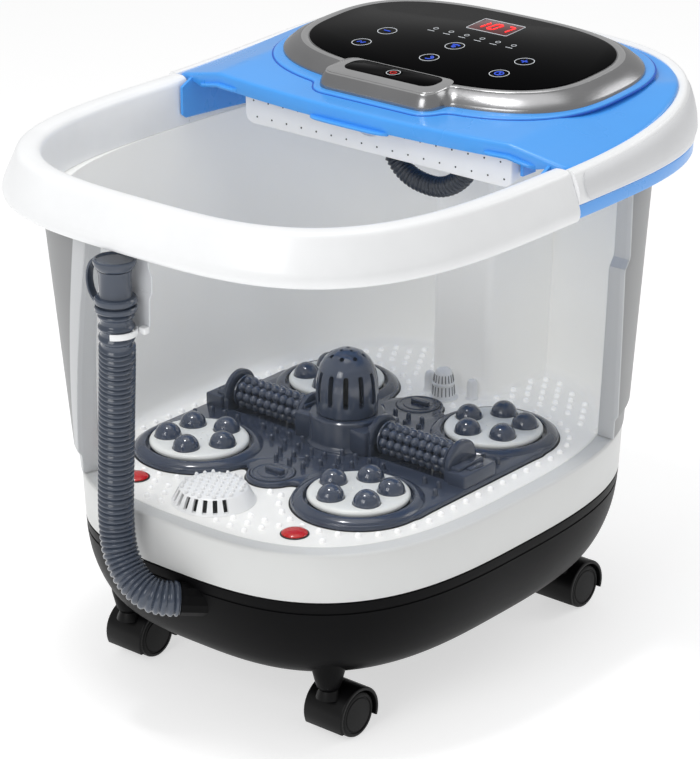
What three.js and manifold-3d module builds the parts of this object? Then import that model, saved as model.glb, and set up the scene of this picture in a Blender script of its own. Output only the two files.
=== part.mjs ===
// Foot bath on four twin-wheel casters: double-walled tub with a clear front window,
// massage floor, drain hose and a raised control console.
// Millimetres, +Z up, user in front (-Y), console at the back (+Y).
// The origin is on the floor, under the middle of the rim.
import * as THREE from "three";
import { mergeVertices } from "three/addons/utils/BufferGeometryUtils.js";
import Module from "manifold-3d";

const wasm = await Module();
wasm.setup();

// ---------------------------------------------------------------- driving dimensions
const GAP = 0.3;              // clearance between pieces that touch
const SIDES = 32;             // points round the tub's plan outline
const COARSE = 0.45;          // share of the named side counts that round pieces are given
const ROUNDNESS = 2.9;        // exponent of the rounded plan outline
const WALL = 3;               // moulded wall thickness
const CENTRE_Y = 6;           // the mechanism's centre is this far behind the middle of the rim
const JOINT_Y = 16;           // where the front rim meets the rear rim

const BASE_Z = 46;            // underside of the body
const SKIRT_Z = 122;          // black base ends, white skirt starts
const FLOOR_Z = 160;          // walking surface of the tub floor
const WALL_TOP = 372;         // top of the outer wall, under the rim
const CAVITY = 13.5;          // outer wall surface to inner basin surface
const RIM_TOP = 413;          // highest line of the front rim
const REAR_RISE = 28;         // how much higher the rear rim is at the very back

const DISC_X = 78.5;          // massage disc centres
const DISC_Y = 80.5;
const DISC_R = 38;
const COLLAR_R = 50;
const PLATE_Z = 164;          // top of the dark massage base
const ROLLER_Z = 175;
const ROLLER_R = 13.5;
const ROLLER_IN = 38;         // inner and outer ends of each roller, from the middle
const ROLLER_OUT = 106;
const FLANGE_R = 17;
const COLUMN_R = 29;
const COLUMN_Z = 187;
const CAP_R = 23.5;
const CAP_Z = 237;

const CASTER_X = 100;
const CASTER_Y = 140;
const WHEEL_R = 17.5;
const WHEEL_WIDTH = 12.4;
const TRAIL = 14;             // stem axis to wheel axle
const SOCKET_Z = 40.3;        // lower end of the caster sockets

const TILT = THREE.MathUtils.degToRad(4.1);   // the console faces the user
const DECK_Z = 422;           // console deck surface at the middle of the tub
const LENS_RISE = 12.7;       // glass above the deck surface

// heights of the tub's outer surface: z, half width, depth in front, depth behind
const BODY = [
  [BASE_Z, 118, 148, 176],
  [50, 132, 162, 190],
  [60, 147, 176, 206],
  [78, 158, 188, 218],
  [98, 162.5, 192.5, 222.5],
  [SKIRT_Z, 164, 194, 224],
  [FLOOR_Z, 165.5, 195.5, 226],
  [WALL_TOP, 182, 213, 231],
];
const RIM = { a: 200, front: 240, back: 252, frontRoundness: 3.25, backRoundness: 3.8 };

// ---------------------------------------------------------------- materials
const mat = (color, roughness, metalness = 0, extra = {}) =>
  new THREE.MeshStandardMaterial({ color, roughness, metalness, ...extra });
const WHITE = mat(0xeceded, 0.35);
const PALE = mat(0xdfe1e3, 0.4);
const BLACK = mat(0x141415, 0.45);
const BLUE = mat(0x5aaaf2, 0.3);
const SLATE = mat(0x414858, 0.3);
const GREY_HOSE = mat(0x4a5163, 0.4);
const SILVER = mat(0xc4c4c4, 0.25, 1);
const GLASS_BLACK = mat(0x050507, 0.08);
const CLEAR = mat(0xf4f8fa, 0.05, 0, { transparent: true, opacity: 0.1 });
const RED = mat(0xc81410, 0.15);
const GREEN_BOARD = mat(0x1d5c3a, 0.5);
const STEEL = mat(0x9a9ca0, 0.35, 1);
const DARK_RUBBER = mat(0x1b1b1c, 0.8);

// ---------------------------------------------------------------- solids
function signedVolume(geometry) {
  const p = geometry.getAttribute("position");
  const index = geometry.getIndex();
  const [a, b, c] = [new THREE.Vector3(), new THREE.Vector3(), new THREE.Vector3()];
  let sum = 0;
  for (let i = 0; i < index.count; i += 3) {
    a.fromBufferAttribute(p, index.getX(i));
    b.fromBufferAttribute(p, index.getX(i + 1));
    c.fromBufferAttribute(p, index.getX(i + 2));
    sum += a.dot(b.cross(c));
  }
  return sum / 6;
}

// merge shared vertices and make every face point outward
function closed(geometry) {
  const bare = geometry.clone();
  bare.deleteAttribute("normal");
  bare.deleteAttribute("uv");
  const merged = mergeVertices(bare, 1e-3);
  const index = merged.getIndex();
  const kept = [];
  for (let i = 0; i < index.count; i += 3) {
    const [a, b, c] = [index.getX(i), index.getX(i + 1), index.getX(i + 2)];
    if (a !== b && b !== c && c !== a) kept.push(a, b, c);
  }
  merged.setIndex(kept);
  if (signedVolume(merged) < 0) merged.setIndex(kept.reverse());
  return merged;
}

function toSolid(geometry) {
  const g = closed(geometry);
  const mesh = new wasm.Mesh({
    numProp: 3,
    vertProperties: new Float32Array(g.getAttribute("position").array),
    triVerts: new Uint32Array(g.getIndex().array),
  });
  return new wasm.Manifold(mesh);
}

function toGeometry(solid) {
  const mesh = solid.getMesh();
  const g = new THREE.BufferGeometry();
  g.setAttribute("position", new THREE.BufferAttribute(new Float32Array(mesh.vertProperties), 3));
  g.setIndex(new THREE.BufferAttribute(new Uint32Array(mesh.triVerts), 1));
  return g;
}

function combine(op, first, others) {
  let solid = toSolid(first);
  for (const other of others) solid = solid[op](toSolid(other));
  return toGeometry(solid);
}
const join = (first, ...others) => combine("add", first, others);
const cut = (first, ...others) => combine("subtract", first, others);
const meet = (first, ...others) => combine("intersect", first, others);

const box = (w, d, h, x = 0, y = 0, z = 0) => new THREE.BoxGeometry(w, d, h).translate(x, y, z);

const facets = (sides) => Math.max(8, 2 * Math.round((sides * COARSE) / 2));

// cylinder standing on z, cone when the radii differ
function post(r, z0, z1, x = 0, y = 0, sides = 20, rTop = r) {
  return new THREE.CylinderGeometry(rTop, r, z1 - z0, facets(sides))
    .rotateX(Math.PI / 2)
    .translate(x, y, (z0 + z1) / 2);
}

function barX(r, x0, x1, y = 0, z = 0, sides = 20) {
  return new THREE.CylinderGeometry(r, r, x1 - x0, facets(sides))
    .rotateZ(Math.PI / 2)
    .translate((x0 + x1) / 2, y, z);
}

function barY(r, y0, y1, x = 0, z = 0, sides = 20) {
  return new THREE.CylinderGeometry(r, r, y1 - y0, facets(sides)).translate(x, (y0 + y1) / 2, z);
}

// turned solid about Z from [radius, height] points
function turned(profile, sides = 24) {
  return new THREE.LatheGeometry(profile.map(([r, z]) => new THREE.Vector2(r, z)), facets(sides))
    .rotateX(Math.PI / 2);
}

// stack of rings with equal point counts; capped at both ends, or closed on itself
function loft(rings, loop = false) {
  const n = rings[0].length;
  const points = rings.flat();
  const index = [];
  const last = loop ? rings.length : rings.length - 1;
  for (let k = 0; k < last; k += 1) {
    const a = k * n;
    const b = ((k + 1) % rings.length) * n;
    for (let i = 0; i < n; i += 1) {
      const j = (i + 1) % n;
      index.push(a + i, a + j, b + j, a + i, b + j, b + i);
    }
  }
  if (!loop) {
    for (const [k, flip] of [[0, true], [rings.length - 1, false]]) {
      const centre = new THREE.Vector3();
      for (const p of rings[k]) centre.addScaledVector(p, 1 / n);
      points.push(centre);
      const c = points.length - 1;
      for (let i = 0; i < n; i += 1) {
        const [p, q] = [k * n + i, k * n + ((i + 1) % n)];
        index.push(c, flip ? q : p, flip ? p : q);
      }
    }
  }
  const g = new THREE.BufferGeometry();
  g.setAttribute("position", new THREE.Float32BufferAttribute(points.flatMap((p) => [p.x, p.y, p.z]), 3));
  g.setIndex(index);
  return g;
}

// plan outline with rounded corners; height may depend on the point
function outline(a, front, back, z, roundness = ROUNDNESS, sides = SIDES) {
  const ring = [];
  for (let i = 0; i < sides; i += 1) {
    const t = (2 * Math.PI * i) / sides;
    const [c, s] = [Math.cos(t), Math.sin(t)];
    const x = a * Math.sign(c) * Math.abs(c) ** (2 / roundness);
    const y = (s < 0 ? front : back) * Math.sign(s) * Math.abs(s) ** (2 / roundness);
    ring.push(new THREE.Vector3(x, y, typeof z === "function" ? z(x, y) : z));
  }
  return ring;
}

// ring of the tub's outer surface at height z, moved inward by inset
function bodyRing(z, inset = 0, atZ = z) {
  const i = Math.max(1, BODY.findIndex(([h]) => h >= z));
  const [lo, hi] = [BODY[i - 1], BODY[i]];
  const k = (z - lo[0]) / (hi[0] - lo[0]);
  const [a, front, back] = [1, 2, 3].map((j) => lo[j] + k * (hi[j] - lo[j]) - inset);
  return outline(a, front, back, atZ);
}
const bodyHeights = (z0, z1) => [z0, ...BODY.map((row) => row[0]).filter((z) => z > z0 && z < z1), z1];

// band of wall between two insets, from z0 to z1
function wallBand(z0, z1, outerInset, innerInset) {
  const up = bodyHeights(z0, z1);
  return loft([
    ...up.map((z) => bodyRing(z, outerInset)),
    ...up.reverse().map((z) => bodyRing(z, innerInset)),
  ], true);
}

const rimRing = (inset, z, roundness) =>
  outline(RIM.a - inset, RIM.front - inset, RIM.back - inset, z, roundness);
const rearRing = (inset, z) => rimRing(inset, z, RIM.backRoundness);
const rearTop = (x, y) => RIM_TOP + REAR_RISE * Math.max(0, y / 250) ** 2.2;

// flat plate with rounded corners, standing on z0
function plate(width, depth, corner, z0, z1, x = 0, y = 0) {
  const [w, d] = [width / 2 - corner, depth / 2 - corner];
  const shape = new THREE.Shape();
  shape.absarc(w, d, corner, 0, Math.PI / 2, false);
  shape.absarc(-w, d, corner, Math.PI / 2, Math.PI, false);
  shape.absarc(-w, -d, corner, Math.PI, 1.5 * Math.PI, false);
  shape.absarc(w, -d, corner, 1.5 * Math.PI, 2 * Math.PI, false);
  return new THREE.ExtrudeGeometry(shape, { depth: z1 - z0, bevelEnabled: false, curveSegments: 2 })
    .translate(x, y, z0);
}

// round bar along a list of points
function hose(points, radius, sides = 10, steps = 40) {
  const section = new THREE.Shape();
  section.absarc(0, 0, radius, 0, 2 * Math.PI, false);
  const path = new THREE.CatmullRomCurve3(points.map((p) => new THREE.Vector3(...p)));
  return new THREE.ExtrudeGeometry(section, {
    steps,
    curveSegments: sides / 2,
    bevelEnabled: false,
    extrudePath: path,
  });
}

// ---------------------------------------------------------------- assembly
const object = new THREE.Group();
const tub = new THREE.Group();
tub.position.y = -CENTRE_Y;
object.add(tub);
const consoleTop = new THREE.Group();     // tilted: its z = 0 is the deck surface
consoleTop.position.z = DECK_Z;
consoleTop.rotation.x = TILT;
tub.add(consoleTop);

function add(name, geometry, material, parent = tub) {
  const mesh = new THREE.Mesh(closed(geometry), material);
  mesh.name = name;
  parent.add(mesh);
  return mesh;
}

// ---------------------------------------------------------------- drain hose
const HOSE_R = 13.2;
const DRAIN_PATH = [
  [-14, -231.5, 331], [-14, -231.5, 322], [-14.4, -231, 312], [-16.4, -229, 300], [-20, -226, 282],
  [-24, -223, 262], [-28, -220, 240], [-31, -218, 218], [-33.8, -216.4, 197], [-36, -215, 176],
  [-37, -214, 156], [-34.5, -214.5, 139], [-29.5, -214.8, 128], [-23, -215, 119.5], [-15, -214.2, 113],
  [-6.5, -211.8, 108.5], [2, -206, 106], [8.5, -198.5, 105],
];
const HOSE_END = new THREE.Vector3(...DRAIN_PATH.at(-1));
const OUTLET_DIR = HOSE_END.clone().sub(new THREE.Vector3(...DRAIN_PATH.at(-2))).normalize();

// round bar on the hose's last heading; distances are measured from the end of the hose
function outletBar(radius, from, to) {
  const turn = new THREE.Quaternion().setFromUnitVectors(new THREE.Vector3(0, 1, 0), OUTLET_DIR);
  const middle = HOSE_END.clone().addScaledVector(OUTLET_DIR, (from + to) / 2);
  return new THREE.CylinderGeometry(radius, radius, to - from, 12)
    .applyQuaternion(turn)
    .translate(middle.x, middle.y, middle.z);
}

function drainHose() {
  add("drain_hose", hose(DRAIN_PATH, HOSE_R, 8, 26), GREY_HOSE);
  add("drain_outlet", outletBar(12.6, 0.6, 30), BLACK);
  // cuff, cap and strap at the top, held against the wall
  const [x, y] = DRAIN_PATH[0];
  const cuff = join(
    post(14.6, 331.5, 340, x, y, 24),
    post(11, 339, 362, x, y, 24),
  );
  add("hose_cuff", cut(cuff, post(8, 345, 370, x, y, 16)), GREY_HOSE);
  const strap = new THREE.Shape();
  strap.absarc(0, 0, 13, 0.5 * Math.PI, 1.5 * Math.PI, false);
  strap.absarc(0, 0, 10.6, 1.5 * Math.PI, 0.5 * Math.PI, true);
  const loop = new THREE.ExtrudeGeometry(strap, { depth: 6, bevelEnabled: false, curveSegments: 4 })
    .rotateX(Math.PI / 2)
    .translate(x - 13, y + 3, 356.5);
  add("hose_cap", join(post(14.8, 362.4, 369.5, x, y, 24), loop), GREY_HOSE);
  const bracketY = [-215.6, -214];
  add("hose_bracket", box(40, bracketY[1] - bracketY[0], 52, x, (bracketY[0] + bracketY[1]) / 2, 338), WHITE);
  const ring = join(post(HOSE_R + 4.5, 313, 319, x, y, 24), box(34, 6, 6, x, bracketY[0] - GAP - 3, 316));
  const bore = post(HOSE_R + 1.2, 300, 330, x, y, 36);
  const mouth = box(40, 20, 20, x, y - 9 - 10, 316);
  const behind = box(60, 20, 20, x, bracketY[0] - GAP + 10, 316);
  add("hose_clip", cut(ring, bore, mouth, behind), WHITE);
}

// ---------------------------------------------------------------- body shells
const HOUSING = { half: 28, y: 136.2, draft: 6 };   // upright housing inside the back of the basin
const GLAND = { x: 40, z: 104 };          // where the mains cord leaves the back of the base

function windowCutter(clearance = 0) {
  // the left edge leans forward and the right edge leans back, with a jog near its top
  const lean = [-0.33, -0.944];
  const corners = (left, rightY) => {
    const inner = [left[0] - 60 * lean[0] + clearance, left[1] - 60 * lean[1]];
    const outer = [left[0] + 75 * lean[0] + clearance, left[1] + 75 * lean[1]];
    return [inner, outer, [outer[0], -320], [320, -320], [320, rightY - clearance], [110, rightY - clearance]];
  };
  const [z0, z1] = [FLOOR_Z + 0.4 + clearance, WALL_TOP - 4 - clearance];
  const ring = (z, rightY) => {
    const k = (z - z0) / (z1 - z0);
    return corners([-108 + 48 * k, -160 - 53 * k], rightY).map(([x, y]) => new THREE.Vector3(x, y, z));
  };
  return loft([ring(z0, 134), ring(307, 113), ring(315, 121), ring(z1, 113)]);
}

function bodyShells() {
  const spots = [-1, 1].flatMap((sx) => [-1, 1].map((sy) => [sx * CASTER_X, sy * CASTER_Y]));
  const sockets = spots.map(([x, y]) => post(9.5, SOCKET_Z, 70, x, y, 18, 15));
  const stemHoles = spots.map(([x, y]) => post(4.4, 30, 62, x, y, 12));
  const baseUp = bodyHeights(50 + GAP, SKIRT_Z - GAP);
  const baseShell = loft([
    ...baseUp.map((z) => bodyRing(z)),
    ...baseUp.reverse().map((z) => bodyRing(z, WALL)),
  ], true);
  add("base_shell", cut(join(baseShell, ...sockets), outletBar(HOSE_R + 1.2, -16, 45),
    barY(8 + GAP, 200, 240, GLAND.x, GLAND.z, 16), ...stemHoles), BLACK);

  const foot = post(10, 39, BASE_Z + 1, 70, -108, 18, 14);
  const clearances = spots.map(([x, y]) => post(9.5 + GAP, SOCKET_Z, 70, x, y, 18, 15 + GAP));
  add("bottom_cover", cut(join(loft([bodyRing(BASE_Z), bodyRing(50)]), foot), ...clearances), BLACK);

  // white skirt with the ledge that carries the floor
  const skirtUp = [SKIRT_Z, FLOOR_Z];
  add("lower_skirt", loft([
    ...skirtUp.map((z) => bodyRing(z)),
    bodyRing(FLOOR_Z, CAVITY),
    bodyRing(FLOOR_Z, CAVITY, FLOOR_Z - 4),
    bodyRing(FLOOR_Z, WALL, FLOOR_Z - 4),
    bodyRing(SKIRT_Z, WALL),
  ], true), WHITE);

  const cutter = windowCutter();
  const outer = cut(wallBand(FLOOR_Z + GAP, WALL_TOP, -0.8, 2.2), cutter);
  // jamb strips close the double wall at both sides of the window
  const jambZone = cutter.clone().translate(-WALL, 0, 0);
  const jambZoneBack = cutter.clone().translate(0, WALL, 0);
  const cavityBand = loft([
    bodyRing(FLOOR_Z, 2, FLOOR_Z + GAP),
    bodyRing(WALL_TOP, 2),
    bodyRing(WALL_TOP, CAVITY - 3.5 - GAP),
    bodyRing(FLOOR_Z, CAVITY - GAP, FLOOR_Z + GAP),
  ], true);
  const jambs = toSolid(cavityBand)
    .intersect(toSolid(jambZone).add(toSolid(jambZoneBack)))
    .subtract(toSolid(cutter));
  const trimmed = jambs.subtract(toSolid(box(600, 600, 10, 0, 0, WALL_TOP)));
  add("outer_shell", toGeometry(toSolid(outer).add(trimmed)), WHITE);

  // inner basin: floor, drafted wall and a flange that the rim clips over
  const basin = loft([
    bodyRing(FLOOR_Z, CAVITY + GAP, FLOOR_Z - 4),
    bodyRing(FLOOR_Z, CAVITY + GAP),
    bodyRing(FLOOR_Z + 2, CAVITY),
    bodyRing(WALL_TOP, CAVITY - 3.5),
    bodyRing(WALL_TOP, CAVITY - 3.5, WALL_TOP + GAP),
    bodyRing(WALL_TOP, -3, WALL_TOP + GAP),
    bodyRing(WALL_TOP, -3, WALL_TOP + 3),
    bodyRing(WALL_TOP, CAVITY - 0.5, WALL_TOP + 3),
    bodyRing(WALL_TOP, CAVITY - 0.5),
    bodyRing(FLOOR_Z + 2, CAVITY + WALL),
    bodyRing(FLOOR_Z, CAVITY + WALL + 2),
  ]);
  // hollow housing up the middle of the back wall, open into the double wall behind it
  const column = (grow, z0, z1) => loft([z0, z1].map((z) => {
    const k = (z - FLOOR_Z) / (WALL_TOP - FLOOR_Z);
    return outline(HOUSING.half + 2 * k + grow, 1, 1, z, 8).map((p) =>
      p.setY(p.y > 0 ? 225 + grow : HOUSING.y + HOUSING.draft * k - grow));
  }));
  const basinZone = loft([bodyRing(FLOOR_Z, CAVITY + GAP, FLOOR_Z - 2), bodyRing(WALL_TOP, CAVITY - 3, WALL_TOP - 3)]);
  const housing = meet(column(0, FLOOR_Z - 3, WALL_TOP - 4), basinZone);
  const spindles = [-1, 1].flatMap((sx) => [-1, 1].map((sy) =>
    post(4.5, FLOOR_Z - 10, FLOOR_Z + 10, sx * DISC_X, sy * DISC_Y, 16)));
  const vent = post(24, FLOOR_Z - 10, FLOOR_Z + 5, VENT.x, VENT.y, 24);
  add("inner_tub", cut(join(basin, housing), column(-WALL, FLOOR_Z - 10, WALL_TOP - 8), cutter, vent, ...spindles), PALE);

  const pane = wallBand(FLOOR_Z + 1, WALL_TOP - 5, 0.2, 2.6);
  add("front_window", meet(pane, windowCutter(GAP)), CLEAR);
}

// ---------------------------------------------------------------- rim
function rims() {
  const section = [
    [3.5, 376.5], [1, 379.5], [0, 385], [0.8, 391], [9, 409], [11.5, 412], [14, RIM_TOP],
    [22, 412.5], [25, 411], [26.5, 405], [27.5, 376], [24.7, 376], [23.5, 404], [21, 408.5],
    [14, 409.8], [12, 407], [4, 391], [3.2, 385], [4.6, 380], [6.8, 376.5],
  ];
  const frontBox = box(460, 300, 100, 0, JOINT_Y - 150, 395);
  add("front_rim", meet(loft(section.map(([i, z]) => rimRing(i, z, RIM.frontRoundness)), true), frontBox), WHITE);

  const low = 389;
  const up = (k) => (x, y) => low + k * (rearTop(x, y) - low);
  const below = (drop) => (x, y) => rearTop(x, y) - drop;
  const rear = loft([
    rearRing(2, low), rearRing(0, up(0.2)), rearRing(0.4, up(0.45)), rearRing(4, up(0.8)),
    rearRing(7, up(0.97)), rearRing(9, up(1)), rearRing(12.5, up(1)), rearRing(12.5, below(6)),
    rearRing(26, below(6)), rearRing(27.5, 376), rearRing(24.7, 376), rearRing(23, below(9)),
    rearRing(9, below(9)), rearRing(4.5, up(0.45)),
    rearRing(4, up(0.2)), rearRing(6, low),
  ], true);
  const rearBox = box(460, 300, 120, 0, JOINT_Y + GAP + 150, 410);
  add("rear_rim", meet(rear, rearBox), WHITE);

  const trim = loft([
    rearRing(5, 378), rearRing(3, 380), rearRing(2.4, low - GAP), rearRing(7.5, low - GAP), rearRing(8, 378),
  ], true);
  add("rear_trim", meet(trim, rearBox), BLUE);
}

// ---------------------------------------------------------------- console
const SPRAY = { half: 128, y: 31, depth: 20, z0: 382, z1: 405 };
const SPRAY_AXIS = { y: SPRAY.y + 15, z: 399 };
const PANEL = { a: 125, front: 75, back: 76, y: 135, roundness: 2.8 };   // the glass
const TAB = { half: 50, y0: 33, y1: 66, barY: 54.5 };                      // power tab in front of it

// glass outline on the tilted deck surface, grown by some amount
const panelRing = (grow, z) => outline(PANEL.a + grow, PANEL.front + grow, PANEL.back + grow, z,
  PANEL.roundness).map((p) => p.setY(p.y + PANEL.y));

function deckOutline(inset, z) {
  // back: rim outline; front: shallow bow between the two corners
  const [a, back, frontY, bowDepth] = [186.5 - inset, 238.5 - inset, 4 + inset, 16];
  return outline(a, 1, back, 0, RIM.backRoundness).map((p) => {
    const bow = frontY + bowDepth * (p.x / a) ** 2;
    const y = Math.max(p.y, bow);
    return new THREE.Vector3(p.x, y, typeof z === "function" ? z(p.x, y) : z);
  });
}

function consoleParts() {
  const plane = (x, y) => DECK_Z + Math.tan(TILT) * y;
  const edge = (drop) => (x, y) => {
    const side = THREE.MathUtils.smoothstep(Math.abs(x), 120, 186);
    const back = THREE.MathUtils.smoothstep(y, 150, 235);
    const k = Math.max(side, back);
    return plane(x, y) + k * (rearTop(x, y) - plane(x, y)) - drop;
  };
  const level = (drop) => (x, y) => plane(x, y) - drop;
  const deck = loft([
    deckOutline(3, edge(4.6)), deckOutline(0.2, edge(4.6)), deckOutline(0, edge(1)), deckOutline(1.5, edge(0)),
    deckOutline(24, level(0.4)), deckOutline(40, level(0)),
  ]);
  const hollow = loft([
    deckOutline(3, edge(12)), deckOutline(3.2, edge(4)), deckOutline(26, level(3.2)), deckOutline(42, level(3)),
  ]);
  const shell = cut(deck, hollow);
  // apron along the front edge, with a finger lip in the middle, and a side skirt at each end
  const apron = meet(
    cut(loft([deckOutline(0.4, level(13)), deckOutline(0.4, level(2))]),
      loft([deckOutline(3.4, level(20)), deckOutline(3.4, level(1))])),
    box(300, 60, 60, 0, 20, 415),
  );
  const lip = plate(74, 8, 3.5, 408.6, 411.6, 0, 3.5);
  const fins = [-1, 1].map((s) => box(3, 50, 34, s * 168, 36, 399));
  const hangers = [-1, 1].map((s) => cut(
    box(3, 16, 34, s * (SPRAY.half + 3), SPRAY_AXIS.y, 406),
    barX(3.4, s * SPRAY.half - 10, s * SPRAY.half + 10, SPRAY_AXIS.y, SPRAY_AXIS.z, 24),
  ));
  const slope = (geometry) => geometry.rotateX(TILT).translate(0, 0, DECK_Z);
  const tabDepth = TAB.y1 - TAB.y0;
  const tabY = (TAB.y0 + TAB.y1) / 2;
  const plinth = slope(join(
    loft([panelRing(26, -2), panelRing(25, 0.5)]),
    plate(2 * TAB.half + 12, tabDepth + 12, 8, -2, 0.5, 0, tabY + 4),
  ));
  const opening = slope(join(
    plate(220, 126, 20, -15, 15, 0, PANEL.y),
    post(9, -15, 15, 0, TAB.barY, 20),
  ));
  add("deck", cut(join(shell, apron, lip, ...fins, ...hangers, plinth), opening), BLUE);

  // everything below stands on the tilted deck surface
  const ring = loft([
    panelRing(15, 0.8), panelRing(14.5, 4), panelRing(9.5, 9.5), panelRing(4, 12.4), panelRing(1.2, 12.9),
    panelRing(0.4, 12.4), panelRing(0.4, 10.2), panelRing(-5, 10.2), panelRing(-5, 0.8),
  ], true);
  const tab = plate(2 * TAB.half, tabDepth, 8, 0.8, 12.6, 0, tabY);
  const barSeat = plate(80, 21, 9, 10, 20, 0, TAB.barY);
  const buttonWell = post(7.8, -5, 20, 0, TAB.barY, 20);
  add("panel_bezel", cut(join(ring, tab), barSeat, buttonWell), SILVER, consoleTop);

  const glass = loft([panelRing(0, 10.5), panelRing(0, LENS_RISE)]);
  const behindTab = box(2 * TAB.half + 2 * GAP, 40, 20, 0, TAB.y1 + GAP - 20, 12);
  add("panel_lens", cut(glass, behindTab), GLASS_BLACK, consoleTop);
  add("power_bar", cut(plate(79.4, 20.4, 8.7, 10.3, 12.6, 0, TAB.barY), post(6.7, 5, 15, 0, TAB.barY, 20)),
    GLASS_BLACK, consoleTop);
  add("power_button", join(post(6.2, 4.5, 12.9, 0, TAB.barY, 20), post(7.3, 4.5, 7, 0, TAB.barY, 20)),
    GLASS_BLACK, consoleTop);
  add("control_board", plate(196, 112, 4, -1.5, 0.5, 0, PANEL.y), GREEN_BOARD, consoleTop);
  add("display_module", plate(46, 28, 2, 1, 10.1, 0, 176), BLACK, consoleTop);
}

// ---------------------------------------------------------------- shower
function shower() {
  const shape = new THREE.Shape();
  shape.moveTo(0, 0);
  shape.lineTo(SPRAY.depth, 4);
  shape.lineTo(SPRAY.depth, SPRAY.z1 - SPRAY.z0);
  shape.lineTo(0, SPRAY.z1 - SPRAY.z0 - 1);
  const bar = new THREE.ExtrudeGeometry(shape, { depth: 2 * SPRAY.half, bevelEnabled: false })
    .applyMatrix4(new THREE.Matrix4().makeBasis(
      new THREE.Vector3(0, 1, 0), new THREE.Vector3(0, 0, 1), new THREE.Vector3(1, 0, 0)))
    .translate(-SPRAY.half, SPRAY.y, SPRAY.z0);
  const pins = barX(3, -SPRAY.half - 5, SPRAY.half + 5, SPRAY_AXIS.y, SPRAY_AXIS.z, 12);
  add("spray_box", join(bar, pins), WHITE);

  // from the back of the spray box, round a hanging loop, up to the deck
  add("shower_hose", hose([
    [-20, 53.3, 393], [-20, 60, 392.4], [-19, 67, 386], [-16, 70, 376], [-10, 71, 366],
    [-2, 70.5, 359.5], [9, 70, 355], [25, 70, 353], [38, 70, 355.5], [49, 70, 362],
    [57, 70, 371], [62, 68, 383], [65, 64, 397], [66, 61, 411], [66, 60, 422.6],
  ], 8, 8, 20), GREY_HOSE);
}

// ---------------------------------------------------------------- massage floor
const VENT = { x: -6, y: -144 };
const DOME_R = 10.3;          // five domes stand up through each massage disc
const DOME_RING = 23.8;
const LOCK_Y = 86;            // round lock discs in front of and behind the column
const LOCK_R = 17;

function quadrants(make) {
  for (const [sy, row] of [[-1, "front"], [1, "rear"]]) {
    for (const [sx, side] of [[-1, "left"], [1, "right"]]) make(sx, sy, `${row}_${side}`);
  }
}

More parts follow.
